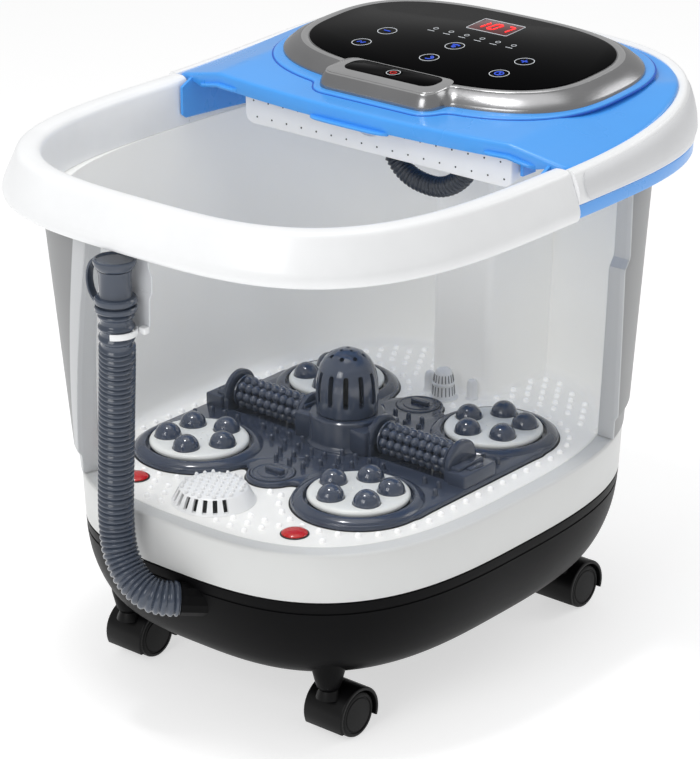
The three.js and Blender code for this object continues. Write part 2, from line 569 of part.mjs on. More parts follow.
function massageFloor() {
  const lobes = [];
  const collars = [];
  const wells = [];
  quadrants((sx, sy) => {
    const [x, y] = [sx * DISC_X, sy * DISC_Y];
    lobes.push(post(COLLAR_R, FLOOR_Z + GAP, PLATE_Z, x, y, 36));
    collars.push(post(COLLAR_R - 3, PLATE_Z - 1, PLATE_Z + 2.4, x, y, 36, COLLAR_R - 6));
    wells.push(post(DISC_R + 1.2, FLOOR_Z + 2.4, PLATE_Z + 10, x, y, 32));
    wells.push(post(4.5, FLOOR_Z - 5, FLOOR_Z + 10, x, y, 16));
  });
  const middle = plate(268, 132, 30, FLOOR_Z + GAP, PLATE_Z);
  const bosses = [-1, 1].flatMap((s) => [
    post(21, FLOOR_Z + GAP, PLATE_Z, 0, s * LOCK_Y, 36),
    box(46, 28, PLATE_Z - FLOOR_Z - GAP, 0, s * (LOCK_Y - 16), (PLATE_Z + FLOOR_Z + GAP) / 2),
  ]);
  const lockWells = [-1, 1].map((s) => post(LOCK_R + 1, FLOOR_Z + 1.8, PLATE_Z + 10, 0, s * LOCK_Y, 28));
  const column = post(COLUMN_R, PLATE_Z - 1, COLUMN_Z, 0, 0, 32);
  const shoulders = [-1, 1].map((s) => box(18, 44, 20, s * 28, 0, PLATE_Z + 9));
  const slots = [-1, 1].map((s) =>
    box(ROLLER_OUT - ROLLER_IN + 3, 2 * ROLLER_R + 3, 40, s * (ROLLER_IN + ROLLER_OUT) / 2, 0, FLOOR_Z + 21.2));
  const pads = [-1, 1].map((s) => box(16, 34, 14, s * (ROLLER_OUT + 15), 0, PLATE_Z + 6));
  const flanges = [-1, 1].flatMap((s) => [ROLLER_IN - 3.5, ROLLER_OUT + 3.5].map((x) =>
    join(barX(FLANGE_R, s * x - 2.5, s * x + 2.5, 0, ROLLER_Z, 24),
      box(5, 2 * FLANGE_R, ROLLER_Z - PLATE_Z + 1, s * x, 0, (ROLLER_Z + PLATE_Z) / 2))));
  const bearings = [-1, 1].map((s) => barX(3.4, s > 0 ? ROLLER_IN - 6 : -ROLLER_OUT - 8,
    s > 0 ? ROLLER_OUT + 8 : -ROLLER_IN + 6, 0, ROLLER_Z, 16));
  const bore = post(8, PLATE_Z + 4, COLUMN_Z + 5, 0, 0, 20);
  add("massage_base", cut(
    join(middle, ...bosses, ...lobes, ...collars, column, ...shoulders, ...pads, ...flanges),
    ...wells, ...lockWells, ...slots, ...bearings, bore,
    box(400, 400, 20, 0, 0, FLOOR_Z + GAP - 10),
  ), SLATE);

  const cap = turned([
    [0, COLUMN_Z + GAP], [CAP_R, COLUMN_Z + GAP], [CAP_R, COLUMN_Z + 24], [CAP_R * 0.94, COLUMN_Z + 33],
    [CAP_R * 0.76, COLUMN_Z + 41], [CAP_R * 0.45, COLUMN_Z + 47.5], [0, CAP_Z],
  ], 24);
  const plug = post(7.6, COLUMN_Z - 10, COLUMN_Z + 2, 0, 0, 20);
  const inside = turned([
    [0, COLUMN_Z + 4], [CAP_R - 3, COLUMN_Z + 4], [CAP_R - 3, COLUMN_Z + 24],
    [CAP_R * 0.7, COLUMN_Z + 36], [0, CAP_Z - 5],
  ], 20);
  const slits = Array.from({ length: 8 }, (_, i) => {
    const t = (Math.PI * 2 * i) / 8;
    return box(12, 3.2, 24, 0, 0, 0).translate(CAP_R, 0, COLUMN_Z + 20).rotateZ(t);
  });
  add("center_cap", cut(join(cap, plug), inside, ...slits), SLATE);

  quadrants((sx, sy, where) => {
    const [x, y] = [sx * DISC_X, sy * DISC_Y];
    const around = Array.from({ length: 5 }, (_, i) => {
      const t = (Math.PI * 2 * i) / 5 + (sx > 0 ? Math.PI : 0);
      return [DOME_RING * Math.cos(t), DOME_RING * Math.sin(t)];
    });
    const disc = turned([
      [0, FLOOR_Z + 5.4], [DISC_R - 0.5, FLOOR_Z + 5.4], [DISC_R, FLOOR_Z + 7], [DISC_R - 1, FLOOR_Z + 8.6],
      [DISC_R - 6, FLOOR_Z + 9.8], [0, FLOOR_Z + 10.4],
    ], 32);
    const holes = around.map(([hx, hy]) => post(DOME_R + GAP, FLOOR_Z, FLOOR_Z + 15, hx, hy, 22));
    add(`massage_disc_${where}`, cut(disc, ...holes).translate(x, y, 0), WHITE);
    const dome = turned([
      [0, FLOOR_Z + 4], [DOME_R, FLOOR_Z + 4], [DOME_R, FLOOR_Z + 11.5], [DOME_R * 0.8, FLOOR_Z + 16.4],
      [DOME_R * 0.44, FLOOR_Z + 19.4], [0, FLOOR_Z + 20.4],
    ], 22);
    const backing = post(DISC_R - 2, FLOOR_Z + 2.8, FLOOR_Z + 5.1, 0, 0, 28);
    const spindle = post(3.9, FLOOR_Z - 22, FLOOR_Z + 4, 0, 0, 12);
    const pulley = post(16, FLOOR_Z - 22, FLOOR_Z - 14, 0, 0, 24);
    const hub = join(backing, spindle, pulley, ...around.map(([hx, hy]) => dome.clone().translate(hx, hy, 0)));
    add(`disc_hub_${where}`, hub.translate(x, y, 0), SLATE);
  });

  for (const [s, side] of [[-1, "left"], [1, "right"]]) {
    const [x0, x1] = [ROLLER_IN + 2, ROLLER_OUT - 2];
    const core = barX(8.6, x0, x1, 0, 0, 16);
    const axle = barX(3, ROLLER_IN - 5, ROLLER_OUT + 5, 0, 0, 12);
    const rods = Array.from({ length: 8 }, (_, i) => {
      const t = (Math.PI * 2 * i) / 8;
      return barX(3.8, x0 + 1, x1 - 1, 9.4 * Math.cos(t), 9.4 * Math.sin(t), 10);
    });
    const drum = join(core, axle, ...rods);
    const placed = s > 0 ? drum : drum.rotateZ(Math.PI);
    add(`roller_${side}`, placed.translate(0, 0, ROLLER_Z), SLATE);
  }

  for (const [s, side] of [[-1, "front"], [1, "rear"]]) {
    const lock = join(post(LOCK_R, FLOOR_Z + 2.1, FLOOR_Z + 3.8, 0, s * LOCK_Y, 28),
      box(22, 5, 3, 0, s * LOCK_Y, FLOOR_Z + 4.8));
    add(`lock_${side}`, lock, SLATE);
  }
}

// ---------------------------------------------------------------- small floor pieces
function floorFittings() {
  const [f0, f1] = [FLOOR_Z + GAP, FLOOR_Z + 12];
  const shell = join(
    post(31, f0, f0 + 2, VENT.x, VENT.y, 30),
    post(29, f0 + 1, f1, VENT.x, VENT.y, 30, 26.5),
  );
  const inside = post(26.2, f0 - 1, f1 - 2.5, VENT.x, VENT.y, 30, 24.4);
  const slits = Array.from({ length: 9 }, (_, i) => {
    const t = Math.PI * (1.02 + (0.96 * i) / 8);
    return box(14, 4, 7, 28, 0, 0).rotateZ(t).translate(VENT.x, VENT.y, f0 + 5.5);
  });
  add("vent_grille", cut(shell, inside, ...slits), WHITE);

  for (const [s, side] of [[-1, "left"], [1, "right"]]) {
    add(`red_lens_${side}`, turned([
      [0, f0], [10, f0], [10, f0 + 1.4], [7, f0 + 3], [0, f0 + 3.8],
    ], 24).translate(s * 78, -151, 0), RED);
    add(`level_peg_${side}`, turned([
      [0, f0], [4.4, f0], [4, f0 + 12], [2.6, f0 + 14.4], [0, f0 + 15],
    ], 14).translate(s * 18.5, 127.5 + s * 3.5, 0), WHITE);
  }
  add("strainer", turned([
    [0, f0], [9.5, f0], [9.5, f0 + 2], [7, f0 + 15], [4.5, f0 + 20], [0, f0 + 21.5],
  ], 18).translate(0, 118, 0), WHITE);
}

// ---------------------------------------------------------------- works under the floor
const COVER_TOP = 50 + GAP;               // machinery stands on the bottom cover

function works() {
  add("drive_belt", cut(
    plate(2 * DISC_X + 37, 2 * DISC_Y + 37, 18.5, FLOOR_Z - 20, FLOOR_Z - 16),
    plate(2 * DISC_X + 33, 2 * DISC_Y + 33, 16.5, FLOOR_Z - 30, FLOOR_Z - 10),
  ), DARK_RUBBER);
  // the motor's pulley runs inside the front straight of the belt
  const driveY = -DISC_Y - 0.2;
  add("drive_pulley", cut(post(16, FLOOR_Z - 22, FLOOR_Z - 14, 0, driveY, 24),
    post(5, FLOOR_Z - 30, FLOOR_Z, 0, driveY, 12)), BLACK);
  add("gearmotor", join(
    post(20, COVER_TOP, 112, 0, driveY, 24),
    plate(62, 52, 8, 111, 128, 0, driveY),
    post(4, 127, FLOOR_Z - 12, 0, driveY, 12),
  ), STEEL);
  add("pump", join(
    barX(19, -110, -60, 110, 80, 22),
    post(7, 80, 118, -85, 110, 14),
    box(36, 26, 70 - COVER_TOP, -85, 108, (70 + COVER_TOP) / 2),
  ), BLACK);
  const heaterBlock = cut(plate(120, 54, 10, 108, 128, 60, 128), plate(84, 22, 6, 100, 140, 60, 128));
  const legs = [-1, 1].map((s) => post(4, COVER_TOP, 112, 60 + s * 50, 112, 12));
  add("heater", join(heaterBlock, ...legs), STEEL);
  add("blower", join(
    barX(21, 45, 92, -60, 82, 22),
    barX(9, 91, 112, -60, 82, 14),
    box(34, 30, 70 - COVER_TOP, 68, -60, (70 + COVER_TOP) / 2),
  ), BLACK);
  add("cord_gland", join(barY(8, 206, 232, GLAND.x, GLAND.z, 16), barY(11, 223.4, 226, GLAND.x, GLAND.z, 16)), BLACK);
}

// ---------------------------------------------------------------- casters
function casters() {
  quadrants((sx, sy, where) => {
    const caster = new THREE.Group();
    caster.position.set(sx * CASTER_X, sy * CASTER_Y, 0);
    tub.add(caster);
    const arch = new THREE.Shape();
    arch.absarc(0, 0, 21.5, -0.12 * Math.PI, 1.12 * Math.PI, false);
    arch.absarc(0, 0, 18.6, 1.12 * Math.PI, -0.12 * Math.PI, true);
    const side = new THREE.Matrix4().makeBasis(
      new THREE.Vector3(0, 1, 0), new THREE.Vector3(0, 0, 1), new THREE.Vector3(1, 0, 0));
    const fender = new THREE.ExtrudeGeometry(arch, { depth: 36, bevelEnabled: false, curveSegments: 4 })
      .applyMatrix4(side).translate(-18, TRAIL, WHEEL_R + 0.4);
    const web = barX(19, -3, 3, TRAIL, WHEEL_R + 0.4, 24);
    const neck = post(7, 34.2, 40, 0, 0, 18);
    const stem = post(3.9, 35, 58, 0, 0, 12);
    const behind = box(60, 60, 60, 0, TRAIL, -30 + 4);
    const bore = barX(3.3, -10, 10, TRAIL, WHEEL_R, 14);
    add(`caster_hood_${where}`, cut(join(fender, web, neck, stem), behind, bore), BLACK, caster);
    // each tread stands on a flat
    const sides = 16;
    const wheel = (s) => new THREE.CylinderGeometry(1, 1, WHEEL_WIDTH, sides)
      .scale(WHEEL_R / Math.cos(Math.PI / sides), 1, WHEEL_R / Math.cos(Math.PI / sides))
      .rotateY(Math.PI / sides)
      .rotateZ(Math.PI / 2)
      .translate(s * (4.2 + WHEEL_WIDTH / 2), TRAIL, WHEEL_R);
    add(`caster_wheels_${where}`, join(wheel(-1), wheel(1), barX(3, -8, 8, TRAIL, WHEEL_R, 12)), BLACK, caster);
  });
}

bodyShells();
rims();
consoleParts();
shower();
drainHose();
massageFloor();
floorFittings();
works();
casters();

export default object;
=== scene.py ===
from math import asin, cos, hypot, pi, radians, sin, sqrt, tan

import bmesh
import bpy
import numpy as np
from mathutils import Matrix, Vector


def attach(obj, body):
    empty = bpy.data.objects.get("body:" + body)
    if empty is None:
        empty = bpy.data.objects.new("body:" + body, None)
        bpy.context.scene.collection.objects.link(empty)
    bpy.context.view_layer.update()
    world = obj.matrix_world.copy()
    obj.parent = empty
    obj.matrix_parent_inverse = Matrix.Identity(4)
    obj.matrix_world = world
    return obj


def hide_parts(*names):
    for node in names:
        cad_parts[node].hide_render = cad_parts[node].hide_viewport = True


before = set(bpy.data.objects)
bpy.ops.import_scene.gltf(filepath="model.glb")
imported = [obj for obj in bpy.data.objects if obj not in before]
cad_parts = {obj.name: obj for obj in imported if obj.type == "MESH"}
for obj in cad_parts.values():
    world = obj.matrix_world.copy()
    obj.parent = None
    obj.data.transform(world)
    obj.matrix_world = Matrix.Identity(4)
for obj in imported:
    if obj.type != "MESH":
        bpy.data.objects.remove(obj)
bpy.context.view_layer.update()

# Shapes are worked out in millimetres from the mechanism's centre, as in the CAD part.
# to_frame() turns them into metres in the shared frame.
TAU = 2 * pi
CENTRE_Y = 6                            # the mechanism's centre, ahead of the rim's
FLOOR_Z, WALL_TOP = 160, 372
CAVITY = 13.5                           # outer wall's face to inner wall's face at the floor
RIM = (200, 240, 252)                   # half width, reach in front, reach behind
RIM_TOP, REAR_RISE, JOINT_Y = 413, 28, 16
ROUND, RIM_FRONT, RIM_REAR = 2.9, 3.25, 3.8     # roundness of the plans: tub, rim's two halves
DISC_X, DISC_Y, DISC_R = 78.5, 80.5, 38
DOME_R, DOME_RING = 10.3, 23.8
LOCK_Y, LOCK_R = 86, 17
ROLLER_Z, ROLLER_IN, ROLLER_OUT, FLANGE_R = 175, 38, 106, 17
COLUMN_R, COLUMN_Z, CAP_R, CAP_Z = 29, 187, 23.5, 237
LENS_X, LENS_Y, STRAINER_Y = 78, -151, 118
VENT_X, VENT_Y = -6, -144
CASTER_X, CASTER_Y, TRAIL, WHEEL_R = 100, 140, 14, 17.5
DECK_Z, TILT = 422, radians(4.1)   # console's plane at y = 0, and its slope
SPRAY_HALF, SPRAY_Y, SPRAY_D, SPRAY_Z0, SPRAY_Z1 = 128, 31, 20, 382, 405
BODY = np.array([                       # tub's plan: height, half width, in front, behind
    [50, 132, 162, 190], [98, 162.5, 192.5, 222.5], [122, 164, 194, 224],
    [160, 165.5, 195.5, 226], [372, 182, 213, 231],
], float)
SIDES = ((-1, "left"), (1, "right"))
ROWS = ((-1, "front"), (1, "rear"))
CORNERS = [(sx, sy, f"{row}_{side}") for sx, side in SIDES for sy, row in ROWS]


# ---------- mesh tools
def to_frame(points):
    p = np.array(points, float).reshape(-1, 3) * 0.001
    p[:, 1] -= CENTRE_Y * 0.001
    return p


def tilted(shape):
    """From the console's tilted plane to tub millimetres."""
    p = np.array(shape[0], float).reshape(-1, 3)
    c, s = cos(TILT), sin(TILT)
    y, z = p[:, 1] * c - p[:, 2] * s, p[:, 1] * s + p[:, 2] * c + DECK_Z
    return np.stack([p[:, 0], y, z], 1), shape[1]


def merge(*shapes):
    verts, faces, base = [], [], 0
    for v, f in shapes:
        v = np.asarray(v, float).reshape(-1, 3)
        verts.append(v)
        faces += [tuple(i + base for i in face) for face in f]
        base += len(v)
    return np.concatenate(verts), faces


def moved(shape, x=0, y=0, z=0):
    return shape[0] + np.array([x, y, z], float), shape[1]


def turned(shape, axis, angle):
    return shape[0] @ np.array(Matrix.Rotation(angle, 3, axis)).T, shape[1]


def loft(rings, loop=False, strip=False):
    """Rings of equal length joined by quads.

    loop joins the last ring to the first, and strip caps a C-shaped ring with quads across it.
    """
    k, n = len(rings), len(rings[0])
    verts = np.concatenate([np.asarray(r, float) for r in rings])
    faces = []
    for a in range(k if loop else k - 1):
        b = (a + 1) % k
        for i in range(n):
            j = (i + 1) % n
            faces.append((a * n + i, a * n + j, b * n + j, b * n + i))
    if strip:
        for i in range(n // 2 - 1):
            quad = (i, i + 1, n - 2 - i, n - 1 - i)
            faces += [quad[::-1], tuple((k - 1) * n + q for q in quad)]
    elif not loop:
        faces.append(tuple(range(n))[::-1])
        faces.append(tuple((k - 1) * n + i for i in range(n)))
    return verts, faces


def lathe(profile, sides=48, loop=False, axis="Z"):
    """Turned shape from (radius, height) points; a point on the axis closes an end."""
    ang = np.arange(sides) * TAU / sides
    rings = []
    for r, h in profile:
        r = max(r, 1e-4)
        rings.append(np.stack([r * np.cos(ang), r * np.sin(ang), np.full(sides, h)], 1))
    v, f = loft(rings, loop)
    if axis == "X":
        v = np.stack([v[:, 2], v[:, 0], v[:, 1]], 1)
    return v, f


def rod(r, z0, z1, sides, axis="Z"):
    return lathe([(0, z0), (r, z0), (r, z1), (0, z1)], sides, axis=axis)


def superellipse(a, front, back, t, n=ROUND):
    c, s = np.cos(t), np.sin(t)
    x = a * np.sign(c) * np.abs(c) ** (2 / n)
    y = np.where(s < 0, front, back) * np.sign(s) * np.abs(s) ** (2 / n)
    return np.stack([x, y], 1)


def resample(p, count, closed=False):
    q = np.vstack([p, p[:1]]) if closed else p
    d = np.concatenate([[0], np.cumsum(np.linalg.norm(np.diff(q, axis=0), axis=1))])
    s = np.linspace(0, d[-1], count + 1)[:-1] if closed else np.linspace(0, d[-1], count)
    return np.stack([np.interp(s, d, q[:, k]) for k in range(q.shape[1])], 1)


def oval(a, front, back, count=160, n=ROUND):
    t = np.linspace(0, TAU, 2400, endpoint=False)
    return resample(superellipse(a, front, back, t, n), count, True)


def arc(a, front, back, t0, t1, count, n=ROUND):
    return resample(superellipse(a, front, back, np.linspace(t0, t1, 1600), n), count)


def side_angle(front, back, y, left=False, n=ROUND):
    """Parameter of the outline where it reaches y."""
    s = (abs(y) / (back if y > 0 else front)) ** (n / 2) * (1 if y > 0 else -1)
    t = asin(max(-1.0, min(1.0, s)))
    return pi - t if left else t


def with_z(p, z):
    z = z(p[:, 0], p[:, 1]) if callable(z) else np.full(len(p), float(z))
    return np.column_stack([p[:, :2], z])


def upright(p, y):
    """Outline in x and z, standing at y."""
    return np.column_stack([p[:, 0], np.full(len(p), y), p[:, 1]])


def body_dims(z, inset=0.0):
    return [float(np.interp(z, BODY[:, 0], BODY[:, k])) - inset for k in (1, 2, 3)]


def body_ring(z, inset=0.0, at=None, count=160):
    return with_z(oval(*body_dims(z, inset), count), z if at is None else at)


def fillet(prev, corner, nxt, r, steps=4):
    """Rounded corner between two edges, r mm back from the corner on each."""
    prev, corner, nxt = (np.asarray(q, float) for q in (prev, corner, nxt))
    u = (prev - corner) / np.linalg.norm(prev - corner) * r
    w = (nxt - corner) / np.linalg.norm(nxt - corner) * r
    return [corner + u * (1 - k) ** 2 + w * k ** 2 for k in np.linspace(0, 1, steps)]


def smooth_poly(points, radii, steps=6):
    n, out = len(points), []
    for i in range(n):
        r = radii[i] if hasattr(radii, "__len__") else radii
        out += fillet(points[i - 1], points[i], points[(i + 1) % n], r, steps)
    return np.array(out)


def rounded_rect(w, d, r, steps=7):
    h, e = w / 2 - r, d / 2 - r
    out = []
    for cx, cy, a0 in ((h, e, 0), (-h, e, 90), (-h, -e, 180), (h, -e, 270)):
        for k in range(steps):
            a = radians(a0 + 90 * k / (steps - 1))
            out.append((cx + r * cos(a), cy + r * sin(a)))
    return np.array(out)


def slab(w, d, r, z0, z1, x=0, y=0, edge=0.8, steps=7):
    """Plate with rounded corners and softened edges."""
    rows = [(edge, z0), (0.3 * edge, z0 + 0.3 * edge), (0, z0 + edge), (0, z1 - edge),
            (0.3 * edge, z1 - 0.3 * edge), (edge, z1)]
    rings = []
    for inset, z in rows:
        p = rounded_rect(w - 2 * inset, d - 2 * inset, max(r - inset, 0.2), steps)
        rings.append(with_z(p + (x, y), z))
    return loft(rings)


def block(w, d, h, x=0, y=0, z=0, edge=0.8):
    return slab(w, d, max(1.0, edge), z - h / 2, z + h / 2, x, y, edge, 4)


def dome(r, z0, h, sides=12, rows=4):
    curve = [(r * cos(a), z0 + h * sin(a)) for a in np.linspace(0.15, pi / 2, rows)]
    return lathe([(0, z0), (r, z0)] + curve, sides)


def contour(field, level, count=240):
    """Points where the smooth outline field equals level, going round the origin."""
    ang = np.linspace(0, TAU, 1440, endpoint=False)
    lo, hi = np.zeros(len(ang)), np.full(len(ang), 260.0)      # 260 mm is past every outline
    for _ in range(40):
        mid = (lo + hi) / 2
        inside = field(mid * np.cos(ang), mid * np.sin(ang)) < level
        lo, hi = np.where(inside, mid, lo), np.where(inside, hi, mid)
    p = np.stack([lo * np.cos(ang), lo * np.sin(ang)], 1)
    return resample(p, count, True)


def sd_circle(x, y, cx, cy, r):
    return np.hypot(x - cx, y - cy) - r


def sd_box(x, y, cx, cy, w, d, r):
    qx, qy = np.abs(x - cx) - w + r, np.abs(y - cy) - d + r
    return np.hypot(np.maximum(qx, 0), np.maximum(qy, 0)) + np.minimum(np.maximum(qx, qy), 0) - r


def smooth_min(a, b, k):
    h = np.clip(0.5 + 0.5 * (b - a) / k, 0, 1)
    return b + (a - b) * h - k * h * (1 - h)


def tube(points, radius, sides=28):
    """Tube on a list of points; radius may depend on the distance along it."""
    p = np.asarray(points, float)
    d = np.concatenate([[0], np.cumsum(np.linalg.norm(np.diff(p, axis=0), axis=1))])
    along = np.gradient(p, axis=0)
    along /= np.linalg.norm(along, axis=1)[:, None]
    normal = np.cross(along[0], (0.31, 0.82, 0.48))     # any direction off the tube's own
    normal /= np.linalg.norm(normal)
    ang = np.arange(sides) * TAU / sides
    rings = []
    for i in range(len(p)):
        normal = normal - along[i] * np.dot(normal, along[i])
        normal /= np.linalg.norm(normal)
        side = np.cross(along[i], normal)
        r = radius(d[i], d[-1]) if callable(radius) else radius
        rings.append(p[i] + r * (np.cos(ang)[:, None] * normal + np.sin(ang)[:, None] * side))
    return loft(rings)


def spline(points, step):
    """Catmull-Rom curve through the points, resampled at an even step."""
    p = np.asarray(points, float)
    q = np.vstack([2 * p[0] - p[1], p, 2 * p[-1] - p[-2]])
    out = []
    for i in range(1, len(q) - 2):
        a, b, c, d = q[i - 1:i + 3]
        for t in np.linspace(0, 1, 24, endpoint=False):
            out.append(0.5 * ((2 * b) + (c - a) * t + (2 * a - 5 * b + 4 * c - d) * t ** 2
                              + (3 * b - a - 3 * c + d) * t ** 3))
    out = np.array(out + [p[-1]])
    length = np.linalg.norm(np.diff(out, axis=0), axis=1).sum()
    return resample(out, int(length / step) + 1)


def raw_object(name, shape):
    mesh = bpy.data.meshes.new(name)
    mesh.from_pydata([tuple(p) for p in shape[0]], [], shape[1])
    mesh.validate()
    obj = bpy.data.objects.new(name, mesh)
    bpy.context.scene.collection.objects.link(obj)
    bm = bmesh.new()
    bm.from_mesh(mesh)
    bmesh.ops.remove_doubles(bm, verts=bm.verts, dist=1e-6)
    bmesh.ops.recalc_face_normals(bm, faces=bm.faces)
    bm.to_mesh(mesh)
    bm.free()
    return obj


def cut(shape, *tools):
    """Shape with the tools' volumes taken away."""
    a = raw_object("cut_a", shape)
    b = raw_object("cut_b", merge(*tools))
    mod = a.modifiers.new("cut", "BOOLEAN")
    mod.operation, mod.object, mod.solver, mod.use_self = "DIFFERENCE", b, "EXACT", True
    graph = bpy.context.evaluated_depsgraph_get()
    mesh = bpy.data.meshes.new_from_object(a.evaluated_get(graph))
    v = np.array([tuple(q.co) for q in mesh.vertices])
    f = [tuple(q.vertices) for q in mesh.polygons]
    for o in (a, b):
        bpy.data.objects.remove(o)
    bpy.data.meshes.remove(mesh)
    return v, f


def piece(name, shape, material, slot, body="tub", replaces=None, sharp=32):
    obj = raw_object(name, (to_frame(shape[0]), shape[1]))
    obj.data.materials.append(material)
    for poly in obj.data.polygons:
        poly.use_smooth = True
    obj.data.set_sharp_from_angle(angle=radians(sharp))
    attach(obj, body)
    if replaces:
        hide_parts(replaces)
    return obj


# ---------- materials
def fill(n, **inputs):
    for key, value in inputs.items():
        n.inputs[key.replace("_", " ")].default_value = value
    return n


def node(tree, kind, **inputs):
    return fill(tree.nodes.new(kind), **inputs)


def rgb(*values):
    def linear(c):
        return c / 255 / 12.92 if c <= 10 else ((c / 255 + 0.055) / 1.055) ** 2.4
    return tuple(linear(c) for c in values) + (1,)


def plastic(name, color, rough, spread=0.07, bump=0.05, depth=0.0004, grain=900.0, tint=0.05,
            coat=0.0, spec=0.5, emission=None, metallic=0.0, stretch=None):
    """Moulded plastic: fine surface grain, slow colour drift and uneven gloss."""
    m = bpy.data.materials.new(name)
    m.use_nodes = True
    t, link = m.node_tree, m.node_tree.links.new
    bsdf = t.nodes["Principled BSDF"]
    place = t.nodes.new("ShaderNodeTexCoord").outputs["Object"]
    slow = node(t, "ShaderNodeTexNoise", Scale=22.0, Detail=3.0, Roughness=0.55)
    fine = node(t, "ShaderNodeTexNoise", Scale=grain, Detail=2.0, Roughness=0.6)
    link(place, slow.inputs["Vector"])
    if stretch:
        mapping = node(t, "ShaderNodeMapping", Scale=stretch)
        link(place, mapping.inputs["Vector"])
        place = mapping.outputs["Vector"]
    link(place, fine.inputs["Vector"])
    gloss = node(t, "ShaderNodeMapRange", To_Min=rough - spread / 2, To_Max=rough + spread / 2)
    link(slow.outputs["Fac"], gloss.inputs["Value"])
    link(gloss.outputs["Result"], bsdf.inputs["Roughness"])
    mix = t.nodes.new("ShaderNodeMix")
    mix.data_type = "RGBA"
    fill(mix, A=tuple(c * (1 - tint) for c in color[:3]) + (1,),
         B=tuple(min(1, c * (1 + tint)) for c in color[:3]) + (1,))
    link(slow.outputs["Fac"], mix.inputs["Factor"])
    link(mix.outputs["Result"], bsdf.inputs["Base Color"])
    relief = node(t, "ShaderNodeBump", Strength=bump, Distance=depth)
    link(fine.outputs["Fac"], relief.inputs["Height"])
    link(relief.outputs["Normal"], bsdf.inputs["Normal"])
    fill(bsdf, Specular_IOR_Level=spec, Coat_Weight=coat, Coat_Roughness=0.08, Metallic=metallic)
    if emission:
        fill(bsdf, Emission_Color=emission[:3] + (1,), Emission_Strength=emission[3])
    return m


def brushed(name, color, rough, stretch=(4, 300, 300)):
    return plastic(name, color, rough, spread=0.1, bump=0.12, depth=0.0003, grain=9.0, tint=0.08,
                   metallic=1.0, stretch=stretch)


def clear(name):
    m = plastic(name, (0.25, 0.27, 0.28), 0.05, spread=0.03, bump=0.02, tint=0.01, spec=0.6)
    fill(m.node_tree.nodes["Principled BSDF"], Alpha=0.02)
    m.surface_render_method = "BLENDED"
    return m


WHITE = plastic("white_gloss", rgb(243, 244, 245), 0.3, coat=0.15)
# the outer wall is white plastic painted grey as shade on its sides; the jambs take a lighter copy of it as
# painted light
WALL_SHADE = plastic("wall_painted_shade", rgb(133, 134, 135), 0.38, tint=0.04)
JAMB_LIT = plastic("jamb_painted_light", rgb(197, 199, 201), 0.36, tint=0.02)
# the basin glows a little: painted light that brightens its inner walls and floor
BASIN = plastic("basin_pale_painted_light", rgb(226, 226, 224), 0.42, bump=0.08, tint=0.02,
                emission=(1, 1, 0.98, 0.17))
SKIRT = plastic("skirt_white", rgb(217, 218, 217), 0.36, tint=0.03)
PAD = plastic("rim_pad", rgb(222, 223, 225), 0.42, bump=0.12, grain=1400)
BLACK = plastic("base_black", rgb(14, 14, 15), 0.4, bump=0.2, grain=1500, tint=0.15, spec=0.06)
CASTER = plastic("caster_black", rgb(10, 10, 11), 0.34, bump=0.15, grain=1300, tint=0.2, spec=0.2)
TYRE = plastic("tyre_black", rgb(8, 8, 9), 0.45, bump=0.3, grain=1700, tint=0.2, spec=0.18)
BLUE = plastic("console_blue", rgb(72, 160, 242), 0.28, coat=0.2, tint=0.04)
# darker blue painted as shade: the shadow line at the foot of the console plinth
BLUE_SHADE = plastic("blue_painted_shade", rgb(16, 84, 190), 0.4, tint=0.08)
SLATE = plastic("slate_gloss", rgb(60, 69, 87), 0.1, spread=0.04, bump=0.02, tint=0.08, coat=0.6)
SLATE_LOW = plastic("slate_satin", rgb(56, 64, 81), 0.16, spread=0.06, bump=0.03, tint=0.08,
                    coat=0.2)
HOSE = plastic("hose_grey", rgb(66, 74, 88), 0.16, spread=0.05, bump=0.03, tint=0.08, coat=0.2)
HOSE_DARK = plastic("shower_hose_grey", rgb(52, 58, 68), 0.33, spread=0.1, bump=0.08, tint=0.1)
SILVER = brushed("brushed_silver", (0.33, 0.33, 0.335), 0.25)
SILVER_EDGE = brushed("polished_edge", (0.6, 0.6, 0.605), 0.18)
GLASS = plastic("panel_glass", rgb(4, 4, 5), 0.1, spread=0.03, bump=0.01, tint=0.1, spec=0.01)
INK = plastic("icon_white", rgb(200, 204, 208), 0.4, emission=(0.8, 0.85, 0.9, 0.12))
INK_BLUE = plastic("icon_blue", rgb(34, 70, 190), 0.35, emission=(0.03, 0.10, 0.75, 0.35))
LED_RED = plastic("digit_red", rgb(255, 40, 40), 0.35, emission=(1, 0.03, 0.03, 1.6))
DISPLAY = plastic("display_tint", rgb(58, 8, 12), 0.15, emission=(0.10, 0.0, 0.004, 0.35))
RED_DIM = plastic("power_red", rgb(190, 30, 26), 0.35, emission=(0.6, 0.02, 0.02, 0.3))
LENS_RED = plastic("lens_red", rgb(196, 14, 11), 0.16, coat=0.2)
DISC = plastic("disc_white", rgb(233, 235, 233), 0.33, coat=0.15)
# the pimples glow a little: painted light
PIMPLE = plastic("pimple_white_painted_light", rgb(252, 252, 252), 0.2, coat=0.3, emission=(1, 1, 1, 0.16))
# black painted as shade in hollows and gaps: inside the cap, under the vent, in the spray nozzles, round the
# massage base's foot and round the lamp lenses
SHADE_BLACK = plastic("painted_shade_black", rgb(6, 6, 7), 0.6)
